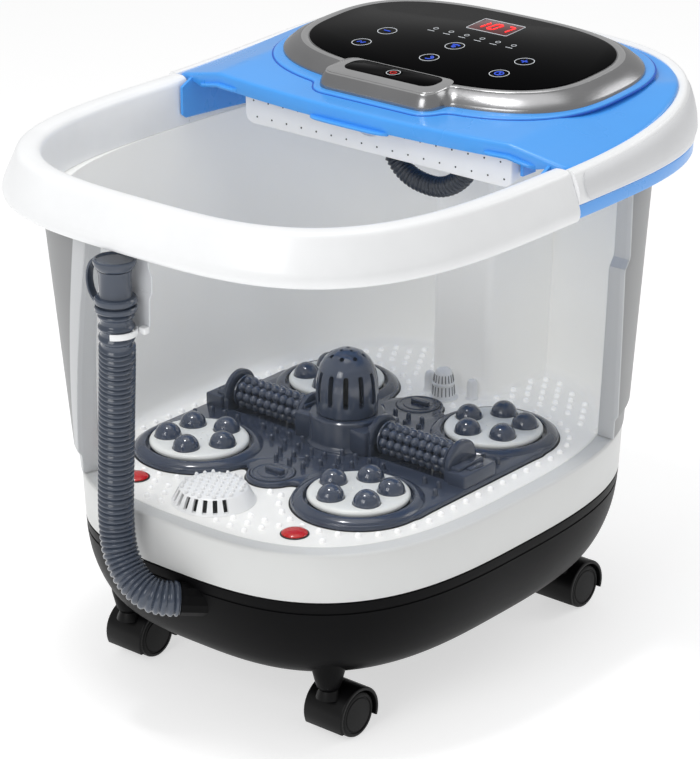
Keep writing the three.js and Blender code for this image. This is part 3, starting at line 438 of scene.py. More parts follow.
# grey painted as the shade inside the strainer's slits
SLIT_SHADE = plastic("slit_painted_shade", rgb(92, 94, 97), 0.6)
WINDOW = clear("window_clear")
BRACKET = plastic("bracket_translucent", rgb(222, 224, 227), 0.3)
BOARD = plastic("board_green", rgb(24, 88, 52), 0.45, bump=0.2, grain=500, tint=0.2)
STEEL = brushed("motor_steel", (0.5, 0.51, 0.53), 0.38, stretch=(300, 300, 6))
RUBBER = plastic("belt_rubber", rgb(24, 24, 25), 0.7, bump=0.4, grain=1200, tint=0.2)

# hidden CAD nodes keep their shape and take a finished material
for names, material in (
    (("bottom_cover", "drain_outlet", "cord_gland", "pump", "blower", "display_module"), BLACK),
    (("control_board",), BOARD), (("drive_belt",), RUBBER), (("drive_pulley",), CASTER),
    (("gearmotor", "heater"), STEEL),
):
    for name in names:
        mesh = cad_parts[name].data
        mesh.materials.clear()
        mesh.materials.append(material)

# ---------- camera and light
camera = bpy.data.objects.new("camera", bpy.data.cameras.new("camera"))
bpy.context.scene.collection.objects.link(camera)
camera.location = (1.3993, -1.6712, 1.0889)
aim = Vector((0.00284, -0.006, 0.21247)) - camera.location
camera.rotation_euler = aim.to_track_quat("-Z", "Y").to_euler()
camera.data.sensor_fit = "AUTO"
camera.data.sensor_width = 36
camera.data.lens = 147.24
camera.data.clip_end = 50
bpy.context.scene.camera = camera
bpy.context.scene.view_settings.view_transform = "Standard"
bpy.context.scene.view_settings.look = "None"


def area_light(name, place, target_z, size, power):
    """Square lamp that looks at the middle of the object, at height target_z."""
    data = bpy.data.lights.new(name, "AREA")
    data.shape, data.size, data.size_y, data.energy = "RECTANGLE", size, size, power
    o = bpy.data.objects.new(name, data)
    o.location = place
    o.rotation_euler = (Vector((0, 0, target_z)) - Vector(place)).to_track_quat("-Z", "Y").to_euler()
    bpy.context.scene.collection.objects.link(o)


area_light("key", (0.2, -1.9, 1.3), 0.25, 1.0, 11)
area_light("top", (-0.1, 0.05, 1.9), 0.2, 1.2, 5)
area_light("rim", (0.8, 1.4, 1.3), 0.3, 0.8, 4)
area_light("spark", (-0.15, -0.35, 1.6), 0.2, 0.16, 5.2)

# the world lights the object at half strength and shows plain white behind it
world = bpy.data.worlds.new("studio")
bpy.context.scene.world = world
world.use_nodes = True
wt = world.node_tree
ambient = fill(wt.nodes["Background"], Color=(1, 1, 1, 1), Strength=0.5)
white = node(wt, "ShaderNodeBackground", Color=(1, 1, 1, 1), Strength=1.0)
mixer = wt.nodes.new("ShaderNodeMixShader")
wt.links.new(wt.nodes.new("ShaderNodeLightPath").outputs["Is Camera Ray"], mixer.inputs["Fac"])
wt.links.new(ambient.outputs["Background"], mixer.inputs[1])
wt.links.new(white.outputs["Background"], mixer.inputs[2])
wt.links.new(mixer.outputs["Shader"], wt.nodes["World Output"].inputs["Surface"])

FLOOR_R, FLOOR_SIDES = 3.2, 96
floor_ring = [(cos(a) * FLOOR_R, sin(a) * FLOOR_R, -0.0002)
              for a in np.linspace(0, TAU, FLOOR_SIDES, endpoint=False)]
floor = raw_object("studio_floor", (floor_ring, [tuple(range(FLOOR_SIDES))]))
floor.data.materials.append(plastic("studio_floor", (0.6, 0.6, 0.6), 0.9, bump=0.0, tint=0.01,
                                    spec=0.0, emission=(1, 1, 1, 0.6)))


# ---------- cords
DRAIN = [
    (8.5, -198.5, 105), (2, -206, 106), (-6.5, -211.8, 108.5), (-15, -214.2, 113), (-23, -215, 119.5),
    (-29.5, -214.8, 128), (-34.5, -214.5, 139), (-37, -214, 156), (-36, -215, 176),
    (-33.8, -216.4, 197), (-31, -218, 218), (-28, -220, 240), (-24, -223, 262), (-20, -226, 282),
    (-16.4, -229, 300), (-14.4, -231, 312), (-14, -231.5, 322), (-14, -231.5, 331),
]
SHOWER = [
    (-20, 53.3, 393), (-20, 60, 392.4), (-19, 67, 386), (-16, 70, 376), (-10, 71, 366),
    (-2, 70.5, 359.5), (9, 70, 355), (25, 70, 353), (38, 70, 355.5), (49, 70, 362),
    (57, 70, 371), (62, 68, 383), (65, 64, 397), (66, 61, 411), (66, 60, 422.6),
]


def cord(route):
    p = spline(route, 0.5)
    tuple(to_frame(route[0])[0])
    [tuple(p) for p in to_frame(route)]


def shower_ribs(d, total):
    return 6.7 + 1.3 * (0.5 + 0.5 * cos(TAU * d / 3.5)) ** 0.8


def drain_ribs(d, total):
    """Close ribs all the way, with three wide ones under the collar."""
    left = total - d
    if left < 27:
        wave = 0.5 + 0.5 * cos(TAU * (left - 3) / 8.2)
        return 11.3 + 1.9 * wave ** 2.2
    wave = 0.5 + 0.5 * cos(TAU * (left - 27) / 4.1)
    return 13.2 - 1.7 * (1 - wave) ** 2.4


hx, hy, hz = DRAIN[-1]
drain = piece("drain_hose_ribbed", tube(spline(DRAIN, 0.62), drain_ribs, 32), HOSE, "hose_grey",
              replaces="drain_hose", sharp=60)
collar = lathe([(8, 0.4), (14.4, 0.4), (15, 1.2), (15, 3.4), (14.4, 4.2), (12.2, 4.6), (12.2, 5.8),
                (14.6, 6.4), (15.1, 7.4), (15.1, 9.6), (14.2, 10.8), (11.6, 11.4), (11.3, 14),
                (11.3, 27), (12.2, 30.5), (8, 30.5)], 56, loop=True)
cuff = piece("hose_cuff_collar", moved(collar, hx, hy, hz), HOSE, "hose_grey", replaces="hose_cuff")
strap_pts = np.array([(hx - 14.4 - 11.5 * sin(a), hy + 1, hz + 18.5 + 16.5 * cos(a))
                      for a in np.linspace(-0.25, pi - 0.1, 26)])
strap_tan = np.gradient(strap_pts, axis=0)
strap_tan /= np.linalg.norm(strap_tan, axis=1)[:, None]
section = rounded_rect(6.4, 2.2, 0.8, 4)
strap = loft([c + section[:, :1] * np.array([0, 1, 0]) + section[:, 1:] * n
              for c, n in zip(strap_pts, np.cross(strap_tan, (0, 1, 0)))])
stopper = lathe([(0, 31), (12.4, 31), (13.4, 32), (15.2, 35.5), (15.2, 37.6), (14.6, 38.4),
                 (13.6, 38.6), (12.4, 37.4), (0, 37.2)], 56)
cap = piece("hose_cap_strap", merge(moved(stopper, hx, hy, hz), strap), HOSE, "hose_grey",
            replaces="hose_cap")
cord(DRAIN)
shower_hose = piece("shower_hose_ribbed", tube(spline(SHOWER, 0.55), shower_ribs, 24), HOSE_DARK,
                    "hose_grey", replaces="shower_hose", sharp=60)
cord(SHOWER)

# wall bracket, its edge lines and the clip round the hose
plate = smooth_poly(np.array([(-35, 312), (-3, 312), (2, 317), (2.5, 340), (5, 343), (5, 356),
                              (2.5, 360), (2, 372), (-35, 372)]), 2.2, 4)
bracket = loft([upright(plate, y) for y in (-214.1, -215.3)])
ridge = tube(upright(plate, -215.2)[4:32], 0.55, 8)
line = tube([(-6, -215.4, 344), (4.6, -215.4, 342.5)], 0.4, 8)
piece("hose_bracket_plate", merge(bracket, ridge, line), BRACKET, "shell_white",
      replaces="hose_bracket")
section = rounded_rect(1.6, 4.6, 0.6, 4)
clip = loft([np.array([(hx + (14.2 + c[0]) * cos(a), hy + (14.2 + c[0]) * sin(a), 316 + c[1])
                       for c in section]) for a in np.linspace(-0.36 * pi, 0.3 * pi, 24)])
piece("hose_clip_band", merge(clip, block(6, 5.5, 5, hx + 13.5, hy + 13.4, 316)), WHITE,
      "shell_white", replaces="hose_clip")

# ---------- double wall
LEAN = np.array([-0.33, -0.944])        # the left edge's direction in plan
TAPER = 3.5                             # the cavity narrows by this much up to WALL_TOP


def taper(z):
    return TAPER * (z - FLOOR_Z) / (WALL_TOP - FLOOR_Z)


def right_edge(z):
    return float(np.interp(z, [160.4, 307, 315, 368, 380], [134, 113, 121, 113, 112]))


def left_angle(a, f, b, z, ahead=0.0):
    """Outline parameter where it meets the window's left edge, ahead mm away from the window."""
    k = (z - 160.4) / (368 - 160.4)
    p0 = np.array([-108 + 48 * k, -160 - 53 * k]) - np.array([ahead, 0])
    lo, hi = pi, 1.5 * pi
    for _ in range(40):
        mid = (lo + hi) / 2
        p = superellipse(a, f, b, np.array([mid]))[0] - p0
        side = LEAN[0] * p[1] - LEAN[1] * p[0]
        lo, hi = (mid, hi) if side < 0 else (lo, mid)
    return (lo + hi) / 2


def c_section(z, outer, inner, ahead=0.0, r=1.4, count=120):
    """Plan section of a wall that goes round the back, from window edge to window edge."""
    loops = []
    for inset in (outer, inner):
        a, f, b = body_dims(min(z, WALL_TOP), inset)
        t0 = side_angle(f, b, right_edge(z) + ahead)
        loops.append(arc(a, f, b, t0, left_angle(a, f, b, z, ahead), count))
    out, inn = loops
    pts = list(out[2:-2])
    pts += fillet(out[-3], out[-1], inn[-1], r) + fillet(out[-1], inn[-1], inn[-3], r)
    pts += list(inn[2:-2][::-1])
    pts += fillet(inn[2], inn[0], out[0], r) + fillet(inn[0], out[0], out[2], r)
    return with_z(np.roll(np.array(pts), 4, axis=0), z)


def outer_section(z):
    """The wall stands a little prouder above the step at its foot."""
    proud = -0.8 - 2.6 * float(np.clip((z - 177) / 4, 0, 1)) + (0.5 if z < 161 else 0)
    return c_section(z, proud, CAVITY - 0.6 - taper(z))


wall_rows = [160.4, 161.2, 176, 178, 181, 183, *np.linspace(195, 300, 8),
             305, 308, 311, 314, 317, 325, 340, 355, 370, 374.5]
wall = [outer_section(z) for z in wall_rows]
outer_wall = piece("outer_wall", loft(wall, strip=True), WALL_SHADE, "shell_white",
                   replaces="outer_shell", sharp=28)
# the faces at the ends of the section, next to the window, are the jambs; they take a lighter copy of the
# wall's colour as painted light, while the rest of the wall is painted grey as shade
outer_wall.data.materials.append(JAMB_LIT)
count = len(wall[0])
for poly in outer_wall.data.polygons[:count * (len(wall) - 1)]:
    place = poly.index % count
    if place >= count - 5 or place < 3 or count / 2 - 5 <= place < count / 2 + 3:
        poly.material_index = 1


def inner_section(z, cove_r=8.0):
    """The basin's wall, with a cove at its foot."""
    k = max(0.0, cove_r - (z - FLOOR_Z))
    cove = cove_r - sqrt(max(0.0, cove_r * cove_r - k * k))
    inner = CAVITY - TAPER * max(0.0, min(1.0, (z - 162) / 210)) + cove
    return c_section(z, CAVITY - 0.3 - taper(z), inner, ahead=2.6, r=0.5)


def housing_ring(z):
    """Upright hollow housing at the back of the basin, tapering upwards."""
    k = (z - FLOOR_Z) / (WALL_TOP - FLOOR_Z)
    foot = 4 * max(0.0, 1 - (z - FLOOR_Z) / 5) ** 2
    w, y = 28 + 2 * k + foot, 136.2 + 6 * k - foot
    p = [(w + 3, 215), (w, y), (-w, y), (-w - 3, 215)]
    front = fillet(p[0], p[1], p[2], 8, 9) + fillet(p[1], p[2], p[3], 8, 9)
    return with_z(np.array([p[0]] + front + [p[3]]), z)


basin_rows = [160.05, 160.3, 161, 162, 163.5, 165.5, 168, *np.linspace(180, 372, 14), 375.2]
wall_in = loft([inner_section(z) for z in basin_rows], strip=True)
floor_slab = loft([body_ring(FLOOR_Z, i, z)
                   for i, z in ((14.6, 156.2), (13.8, 156.8), (13.8, 159.4), (14.4, 160))])
flange = loft([body_ring(WALL_TOP, i, z)
               for i, z in ((-3, 372.4), (-3, 375.4), (9.6, 375.4), (9.6, 372.4))], loop=True)
housing = loft([housing_ring(z) for z in (160.05, 160.6, 161.5, 163, 165, 200, 260, 320, 374)])
piece("basin", merge(wall_in, floor_slab, flange, housing), BASIN, "basin_white",
      replaces="inner_tub", sharp=30)
skirt_rows = [(3, 122.4), (0.4, 122.4), (0, 122.8), (0, 157.2), (0.35, 158.8), (1.2, 159.7),
              (2.4, 160), (13.3, 160), (13.3, 156.2), (3, 156.2)]
skirt = loft([body_ring(z, inset, z, 200) for inset, z in skirt_rows], loop=True)
piece("skirt_band", skirt, SKIRT, "shell_white", replaces="lower_skirt", sharp=50)


def pane_section(z):
    loops = []
    for inset in (0.2, 2.4):
        a, f, b = body_dims(z, inset)
        t1 = TAU + side_angle(f, b, right_edge(z) - 0.5)
        loops.append(arc(a, f, b, left_angle(a, f, b, z, -0.5), t1, 110))
    return with_z(np.vstack([loops[0], loops[1][::-1]]), z)


pane_rows = (161.2, 161.8, 200, 240, 280, 304, 308, 314, 318, 345, 366, 371.6)
piece("window_pane", loft([pane_section(z) for z in pane_rows], strip=True), WINDOW,
      "window_clear", replaces="front_window")

# ---------- black base
# half widths at each height: one smooth sweep from the underside up to the skirt
BASE_SIDE = [(46, 118), (50, 131), (56, 141), (64, 148.5), (74, 154), (86, 158.5), (98, 161.5),
             (110, 163.2), (122, 164)]
base_rings = [with_z(oval(a, a + 30, a + 59.5, 200), z)
              for z, a in spline(BASE_SIDE, 1.2) if 50.6 < z < 111.5]
for inset, z in ((0.1, 111.9), (0.0, 112.4), (0.9, 112.9), (0.95, 113.6), (0.1, 114.1), (0, 114.7)):
    base_rings.append(with_z(oval(163.45 - inset, 193.45 - inset, 222.95 - inset, 200), z))
for inset, z in ((0, 118), (0, 121.1), (0.5, 121.7), (3.2, 121.7), (3.4, 119), (6, 116)):
    base_rings.append(body_ring(z, inset, z, 200))
base_rings = [base_rings[0] * (0.97, 0.97, 1)] + base_rings
socket = lathe([(4.5, 40.6), (7.4, 40.6), (8.2, 41), (9.6, 44), (12.5, 56), (13.5, 66), (15, 72),
                (4.5, 72)], 40, loop=True)
sockets = [moved(socket, sx * CASTER_X, sy * CASTER_Y) for sx, sy, _ in CORNERS]
piece("base_moulding", merge(loft(base_rings), *sockets), BLACK, "base_black",
      replaces="base_shell", sharp=40)
foot = lathe([(0, 37), (9, 37), (11.5, 38.2), (13.5, 41), (15.5, 50), (0, 50)], 40)
under = loft([body_ring(50, i, z) for i, z in ((22, 46.2), (15, 46.4), (9, 47.4), (4, 49.2), (1.5, 50.4))])
piece("underside_cover", merge(under, moved(foot, 70, -108)), BLACK, "base_black",
      replaces="bottom_cover", sharp=40)


# ---------- rims
def rear_top(x, y):
    return RIM_TOP + REAR_RISE * np.maximum(0, y / 250) ** 2.2


def rim_arc(inset, y, n, front, count):
    a, f, b = (v - inset for v in RIM)
    t0, t1 = side_angle(f, b, y, front, n), side_angle(f, b, y, not front, n)
    return arc(a, f, b, t0, t1 + (TAU if front else 0), count, n)


def rim_sweep(rows, front, count=170):
    """Rim section carried round the plan, in front of or behind the joint line."""
    y, n = (JOINT_Y, RIM_FRONT) if front else (JOINT_Y + 0.4, RIM_REAR)
    columns = [with_z(rim_arc(inset, y, n, front, count), z) for inset, z in rows]
    return loft([np.array([c[i] for c in columns]) for i in range(count)])


front_section = [
    (3.6, 376.6), (2.2, 377.2), (1.2, 378.4), (0.4, 380.4), (0, 383), (0.1, 385.6), (0.9, 388.6),
    (3.4, 395.4), (6.2, 402.6), (8.8, 409.2), (9.5, 410.7), (10.5, 411.9), (12, 412.6), (14, 412.9),
    (18, 413), (21.6, 412.7), (23.8, 411.8), (25.2, 410), (26, 407), (26.8, 392), (27.5, 376),
    (24.8, 376), (23.6, 404), (21, 408.3), (14, 409.6), (12, 407), (4.4, 391), (3.4, 385),
    (4.8, 380), (6.6, 376.8),
]
piece("front_rim_moulding", rim_sweep(front_section, True), WHITE, "shell_white",
      replaces="front_rim", sharp=42)


def up(k):
    """Height a share k of the way from the rear rim's foot to its top."""
    return lambda x, y: 389 + k * (rear_top(x, y) - 389)


def drop(d):
    return lambda x, y: rear_top(x, y) - d


rear_section = [
    (2.4, 389), (1.6, 389.6), (1.2, up(0.1)), (1.2, up(0.3)), (1.9, up(0.5)), (4.2, up(0.72)),
    (6.4, up(0.9)), (7.3, up(0.965)), (8.4, up(0.995)), (10, up(1.004)), (12.6, up(1.004)),
    (14, up(0.995)), (14.4, up(0.96)), (14.4, drop(4)), (26, drop(4.6)), (27, drop(9)),
    (27.5, 376), (24.8, 376), (23.4, drop(10)), (10, drop(9)), (6.4, up(0.6)), (4, up(0.2)), (5, 389),
]
piece("rear_rim_moulding", rim_sweep(rear_section, False), WHITE, "shell_white",
      replaces="rear_rim", sharp=42)


def rim_pad(count=200):
    """Pale pad over the rear rim's sloping face, with rounded ends near the joints."""
    face = [(1.4, 0.05), (0.9, 0.2), (1.6, 0.42), (3.4, 0.64), (5.2, 0.8), (6.6, 0.9)]
    start, end_r = 6.5, 9.0
    columns = []
    for inset, k in face:
        v = (k - 0.48) / 0.44
        pull = end_r * (1 - sqrt(max(0.0, 1 - min(1.0, abs(v)) ** 2)))
        columns.append((rim_arc(inset, JOINT_Y + start + pull, RIM_REAR, False, count), k))
    rings = []
    for i in range(count):
        outer, inner = [], []
        for p, k in columns:
            x, y = p[i]
            z = up(k)(x, y)
            nrm = np.array([x / RIM[0] ** 2, y / RIM[2] ** 2])
            nrm /= np.linalg.norm(nrm)
            edge = 0.0 if k in (face[0][1], face[-1][1]) else 1.1
            outer.append((x + nrm[0] * edge * 0.85, y + nrm[1] * edge * 0.85, z + edge * 0.5))
            inner.append((x - nrm[0] * 1.5, y - nrm[1] * 1.5, z - 0.8))
        rings.append(np.array(outer + inner[::-1]))
    return loft(rings)


piece("rear_rim_pad", rim_pad(), PAD, "shell_white", sharp=50)
trim_section = [(5, 378), (3.4, 378.4), (2.6, 380), (2.2, 388), (2.8, 388.7), (7.5, 388.7), (8, 378)]
piece("rear_trim_strip", rim_sweep(trim_section, False), BLUE, "trim_blue",
      replaces="rear_trim", sharp=42)


# ---------- console deck
def plane_z(y):
    return DECK_Z + tan(TILT) * y


def deck_top(x, y):
    """The console's plane, turning up to meet the rear rim at the sides and the back."""
    side = np.clip((np.abs(x) - 139) / 46, 0, 1)
    back = np.clip((y - 150) / 85, 0, 1)
    k = np.maximum(side, back * back * (3 - 2 * back))
    return plane_z(y) + k * (rear_top(x, y) - plane_z(y) - 0.3)


def bow(x):
    """The front edge, which curves back towards its ends."""
    return 4 + 16 * (x / 186.5) ** 2


def deck_ring(inset):
    b = 238.5 - inset
    t0 = side_angle(1, b, 20 + inset, n=RIM_REAR)
    back = arc(186.5 - inset, 1, b, t0, pi - t0, 170, RIM_REAR)
    xs = np.linspace(back[-1, 0], back[0, 0], 90)[1:-1]
    front = np.column_stack([xs, bow(xs) + inset])
    c1 = fillet(back[-12], back[-1], front[8], 7.0, 6)
    c2 = fillet(front[-9], back[0], back[11], 7.0, 6)
    return np.vstack([back[4:-4], c1, front[3:-3], c2])


def deck_foot(x, y):
    """Where the edge ends: under a deep apron in front, a shallow one elsewhere."""
    front = np.clip(1 - (y - bow(x) - 3) / 10, 0, 1) * np.clip((172 - np.abs(x)) / 14, 0, 1)
    return deck_top(x, y) - (5.5 + 6.3 * front)


def deck_row(inset, dz, height=deck_top):
    return with_z(deck_ring(inset), lambda x, y: height(x, y) + dz)


rings = [deck_row(60, -3.4), deck_row(6, -3.6)]
for inset, dz in ((3.6, 0.9), (2.9, 0.2), (2.2, 0), (0.9, 0), (0.3, 0.3), (0, 1.0)):
    rings.append(deck_row(inset, dz, deck_foot))
for inset, dz in ((0, -2.6), (0.25, -1.3), (0.9, -0.5), (1.9, -0.1), (3.2, 0)):
    rings.append(deck_row(inset, dz))
rings += [deck_row(inset, 0) for inset in (6, 10, 14, 19, 24, 29, 34, 39, 44, 48, 52, 57)]
deck = loft(rings)


def lip_sweep(xs, section):
    """Finger lip along the deck's front edge; section gives its reach, height and rows."""
    out = []
    for x in xs:
        reach, z, rows = section(x)
        out.append(np.array([(x, bow(x) + (2.0 if k is None else -reach * k), z + dz) for k, dz in rows]))
    return loft(out)


def middle_lip(x, x0=-40, x1=34):
    reach = 4.4 * min(1.0, sqrt(max(0.0, 1 - (2 * (x - x0) / (x1 - x0) - 1) ** 6)) + 0.02)
    return reach, float(plane_z(bow(x))) - 11.6, (
        (None, 1.2), (0.8, 1.08), (1, 0.15), (0.9, -0.96), (0.5, -1.32), (None, -1.32))


def end_lip(x):
    reach = 3.6 * sqrt(max(0.0, 1 - (2 * (abs(x) - 118) / 42 - 1) ** 4)) + 0.05
    return reach, float(deck_top(x, bow(x) + 3)) - 9.5, (
        (None, 1.6), (0.8, 1.3), (1, 0.2), (0.8, -1.2), (None, -1.6))


def side_skirt(s):
    """Upright panel that hangs from the deck's side, just inside the rim."""
    rings = []
    for y in np.linspace(6, 104, 26):
        x = 171.9 * (1 - (y / 223.7) ** RIM_REAR) ** (1 / RIM_REAR)
        foot = float(np.interp(y, [6, 8, 92, 104], [385, 382, 377.4, 392]))
        head = float(deck_top(x, max(y, 18.0))) - 3
        if y < 18:
            head = float(np.interp(y, [6, 18], [407, head]))
        rings.append(np.array([(s * (x + dx), y, z) for dx, z in (
            (0, head), (0, foot + 0.8), (-0.7, foot), (-1.7, foot), (-2.4, foot + 0.8), (-2.4, head))]))
    return loft(rings)


lips = [lip_sweep(np.linspace(-40, 34, 26), middle_lip)]
lips += [lip_sweep(np.linspace(118, 160, 18) * s, end_lip) for s in (-1, 1)]
hangers = [slab(3, 16, 1, 391, 418, s * 131.4, 46, 0.5) for s in (-1, 1)]
piece("console_deck", merge(deck, *lips, side_skirt(-1), side_skirt(1), *hangers), BLUE,
      "trim_blue", replaces="deck", sharp=30)

PANEL_Y, BUTTON_Y = 135, 54.5           # middles of the glass and of its power button


def panel(x, y, grow, wide):
    """Signed measure of the grown glass outline in the console's plane."""
    dy = np.where(y < PANEL_Y, (PANEL_Y - y) / (75 + grow), (y - PANEL_Y) / (76 + grow))
    r = (np.abs(x / (125 + grow * wide)) ** 2.8 + np.abs(dy) ** 2.8) ** (1 / 2.8)
    return (r - 1) * 86


def union_ring(grow_panel, grow_tab, z, wide=1.0):
    """Outline of the glass and its power tab; wide is the extra growth at the sides."""
    def field(x, y):
        yy = y + PANEL_Y
        tab = sd_box(x, yy, 0, 49.5, 50 + grow_tab, 16.5 + grow_tab, 8 + grow_tab)
        neck = sd_box(x, yy, 0, 62, 50 + grow_tab, 20, 3)
        return smooth_min(panel(x, yy, grow_panel, wide), np.minimum(tab, neck), 6.0)
    return with_z(contour(field, 0.0, 300) + (0, PANEL_Y), z)


def at_button(profile, loop=False):
    return moved(lathe(profile, 48, loop), 0, BUTTON_Y)


def on_console(name, shape, material, slot="panel_black", **options):
    piece(name, tilted(shape), material, slot, **options)


plinth = loft([union_ring(25 + g, 11 + g, z)
               for g, z in ((0.6, -1.2), (0.6, 0.2), (0.25, 1.0), (-0.6, 1.5), (-2, 1.6))])
on_console("console_plinth", plinth, BLUE, "trim_blue", sharp=30)
# thin dark blue strip round the plinth's foot: a painted shadow line, not a groove
plinth_shade = loft([union_ring(26.2 + g, 12.2 + g, z) for g, z in ((0.4, -0.6), (0.4, 0.16), (0.1, 0.3), (-1, 0.3))])
on_console("plinth_foot_shade_line", plinth_shade, BLUE_SHADE, "trim_blue", sharp=30)
slope_rows = [(15.4, 1.2), (15.2, 3.6), (14.6, 4.6), (10.2, 9.4), (6.2, 11.9), (4.2, 12.7)]
edge_rows = [(4.6, 12.2), (4.4, 12.8), (3.4, 13.35), (2.2, 13.45), (1.0, 13.2), (0.2, 12.6)]
slope, edge = (loft([union_ring(g, g * 0.42, z, 1.33) for g, z in rows]) for rows in (slope_rows, edge_rows))
on_console("bezel_slope", slope, SILVER, "bezel_silver", replaces="panel_bezel", sharp=38)
on_console("bezel_edge", edge, SILVER_EDGE, "bezel_silver", sharp=38)
zone = oval(124.4, 74.4, 75.4, 220, 2.8)
glass = loft([with_z(zone * k + (0, PANEL_Y), z) for k, z in ((1, 12.3), (1, 13.25), (0.994, 13.5))])
on_console("control_glass", glass, GLASS, replaces="panel_lens", sharp=30)
tab_frame = cut(slab(103, 34.5, 9, 11.5, 14.1, 0, 50.2, 0.9, 9),
                slab(84.8, 22.8, 9.2, 12.4, 20, 0, 54.2, 0.2, 9))
on_console("power_tab_frame", tab_frame, SILVER_EDGE, "bezel_silver", sharp=38)
bar = cut(slab(84, 22, 8.8, 11.2, 13.9, 0, 54.2, 0.4, 9), at_button([(0, 10), (6.9, 10), (6.9, 16), (0, 16)]))
on_console("power_insert", bar, GLASS, replaces="power_bar")
button = at_button([(0, 4.6), (7.2, 4.6), (7.2, 6.8), (6.4, 7), (6.4, 13.7), (6.0, 14.2), (5, 14.35),
                    (0, 14.3)])
on_console("power_key", button, GLASS, body="power_button", replaces="power_button")
ring_mark = at_button([(5.0, 14.36), (5.5, 14.36), (5.5, 14.5), (5.0, 14.5)], True)
on_console("power_key_ring", ring_mark, INK, body="power_button")
TOP = 13.55                             # height of the marks over the console's plane


def stroke(points, w=0.5, z=TOP):
    return tube([(x, y, z) for x, y in points], w, 6)


def circle(x, y, r, a0=0.0, a1=TAU, n=18):
    return [(x + r * cos(a), y + r * sin(a)) for a in np.linspace(a0, a1, n)]


def flat_ring(x, y, r, w=0.55):
    rows = [(r - w, TOP - 0.3), (r, TOP - 0.3), (r, TOP + 0.12), (r - w, TOP + 0.12)]
    return moved(lathe(rows, 48, loop=True), x, y)


sweep = [(2.4 * sin(a), BUTTON_Y + 2.4 * cos(a)) for a in np.linspace(0.6, TAU - 0.6, 24)]
power_mark = merge(stroke(sweep, 0.32, 14.45), stroke([(0, 54.9), (0, 57.3)], 0.32, 14.45))
on_console("power_key_mark", power_mark, RED_DIM, body="power_button")
key_rings = [flat_ring(x, y, 7.7) for x in (-66, 0, 66) for y in (97, 128)]
key_rings += [flat_ring(15 * k - 37.5, 152.5, 2.1, 0.45) for k in range(6)]
key_rings += [stroke([(15 * k - 41, 146.6), (15 * k - 34.6, 146.6)], 0.28) for k in range(6)]
on_console("key_rings", merge(*key_rings), INK)
symbols = [
    [(-69, 128), (-63, 128)], [(63, 128), (69, 128)], [(66, 125), (66, 131)],           # less, more
    circle(0, 128, 3.0, 0.3, 2.8), circle(0, 126.4, 1.4), [(-3.4, 130.4), (3.4, 130.4)],   # lamp
    circle(0, 97, 3.2, -2.0, 1.6), [(0, 99), (2.6, 96.6)],                              # bubbles
    circle(66, 97, 3.4), [(66, 97), (66, 99.4)], [(66, 97), (68, 96)],                  # clock
    [(-69.4, 95.4), (-67.4, 98.6), (-65.4, 95.4), (-63.2, 98.6)],                       # massage
]
on_console("key_symbols", merge(*[stroke(s) for s in symbols]), INK_BLUE)
DISPLAY_Y = 179
frame_line = rounded_rect(39, 25, 1.2, 3) + (0, DISPLAY_Y)
on_console("display_frame", stroke(np.vstack([frame_line, frame_line[:1]]), 0.32), INK)
screen = slab(37.6, 23.6, 1, TOP - 0.4, TOP + 0.03, 0, DISPLAY_Y, 0.1, 3)
on_console("display_window", screen, DISPLAY)
SEGMENTS = {"a": ((0, 1), (1, 1)), "b": ((1, 1), (1, 0.5)), "c": ((1, 0.5), (1, 0)),
            "d": ((1, 0), (0, 0)), "e": ((0, 0), (0, 0.5)), "f": ((0, 0.5), (0, 1))}


def digit(lit, cx, w=6.0, h=12.4):
    """Seven-segment digit that leans to the right."""
    out = []
    for s in lit:
        p, q = (np.array((cx - w / 2 + x * w + 0.16 * y * h, DISPLAY_Y - h / 2 + y * h))
                for x, y in SEGMENTS[s])
        gap = (q - p) / np.linalg.norm(q - p) * 0.7
        out.append(stroke([p + gap, q - gap], 0.62, TOP + 0.1))
    return out


digits = digit("bc", -13.6) + digit("abcdef", -1.6) + digit("abc", 10)
on_console("display_digits", merge(*digits), LED_RED)


# ---------- spray box
def spray_section(dy, inset):
    x, z0, z1 = SPRAY_HALF - inset, SPRAY_Z0 + inset + 4 * dy / SPRAY_D, SPRAY_Z1 - inset
    return upright(smooth_poly([(-x, z1), (-x, z0), (x, z0), (x, z1)], [2.5, 9, 9, 2.5], 8), SPRAY_Y + dy)


spray = loft([spray_section(*row) for row in (
    (0, 1.6), (0.25, 0.7), (0.9, 0.2), (1.8, 0), (18, 0), (19.3, 0.3), (20, 1.2))])
scoop = [(0, -1)] + [(cos(a), sin(a)) for a in np.linspace(-1.3, 1.3, 9)] + [(0, 1)]
scoop_v, scoop_f = lathe(scoop, 32)
spray = cut(spray, (scoop_v * (9, 3, 3.4) + (-6, SPRAY_Y - 0.6, 398.6), scoop_f))
pins = turned(rod(2.9, -SPRAY_HALF - 4.6, SPRAY_HALF + 4.6, 24), "Y", pi / 2)
piece("spray_box_body", merge(spray, moved(pins, 0, SPRAY_Y + 15, 399)), WHITE, "shell_white",
      body="spray_box", replaces="spray_box", sharp=35)
# black dots on the spray box's face stand for its nozzle holes: painted shade, not cut openings
hole_shade = turned(lathe([(0, -0.35), (0.62, -0.35), (0.75, 0.12), (0, 0.14)], 12), "X", pi / 2)
hole_shades = [moved(hole_shade, x0 + 14.8 * k, SPRAY_Y - 0.02, z) for x0, z in ((-119, 401), (-115.5, 388.6))
         for k in range(17)]
piece("spray_hole_shades", merge(*hole_shades), SHADE_BLACK, "shell_white", body="spray_box")


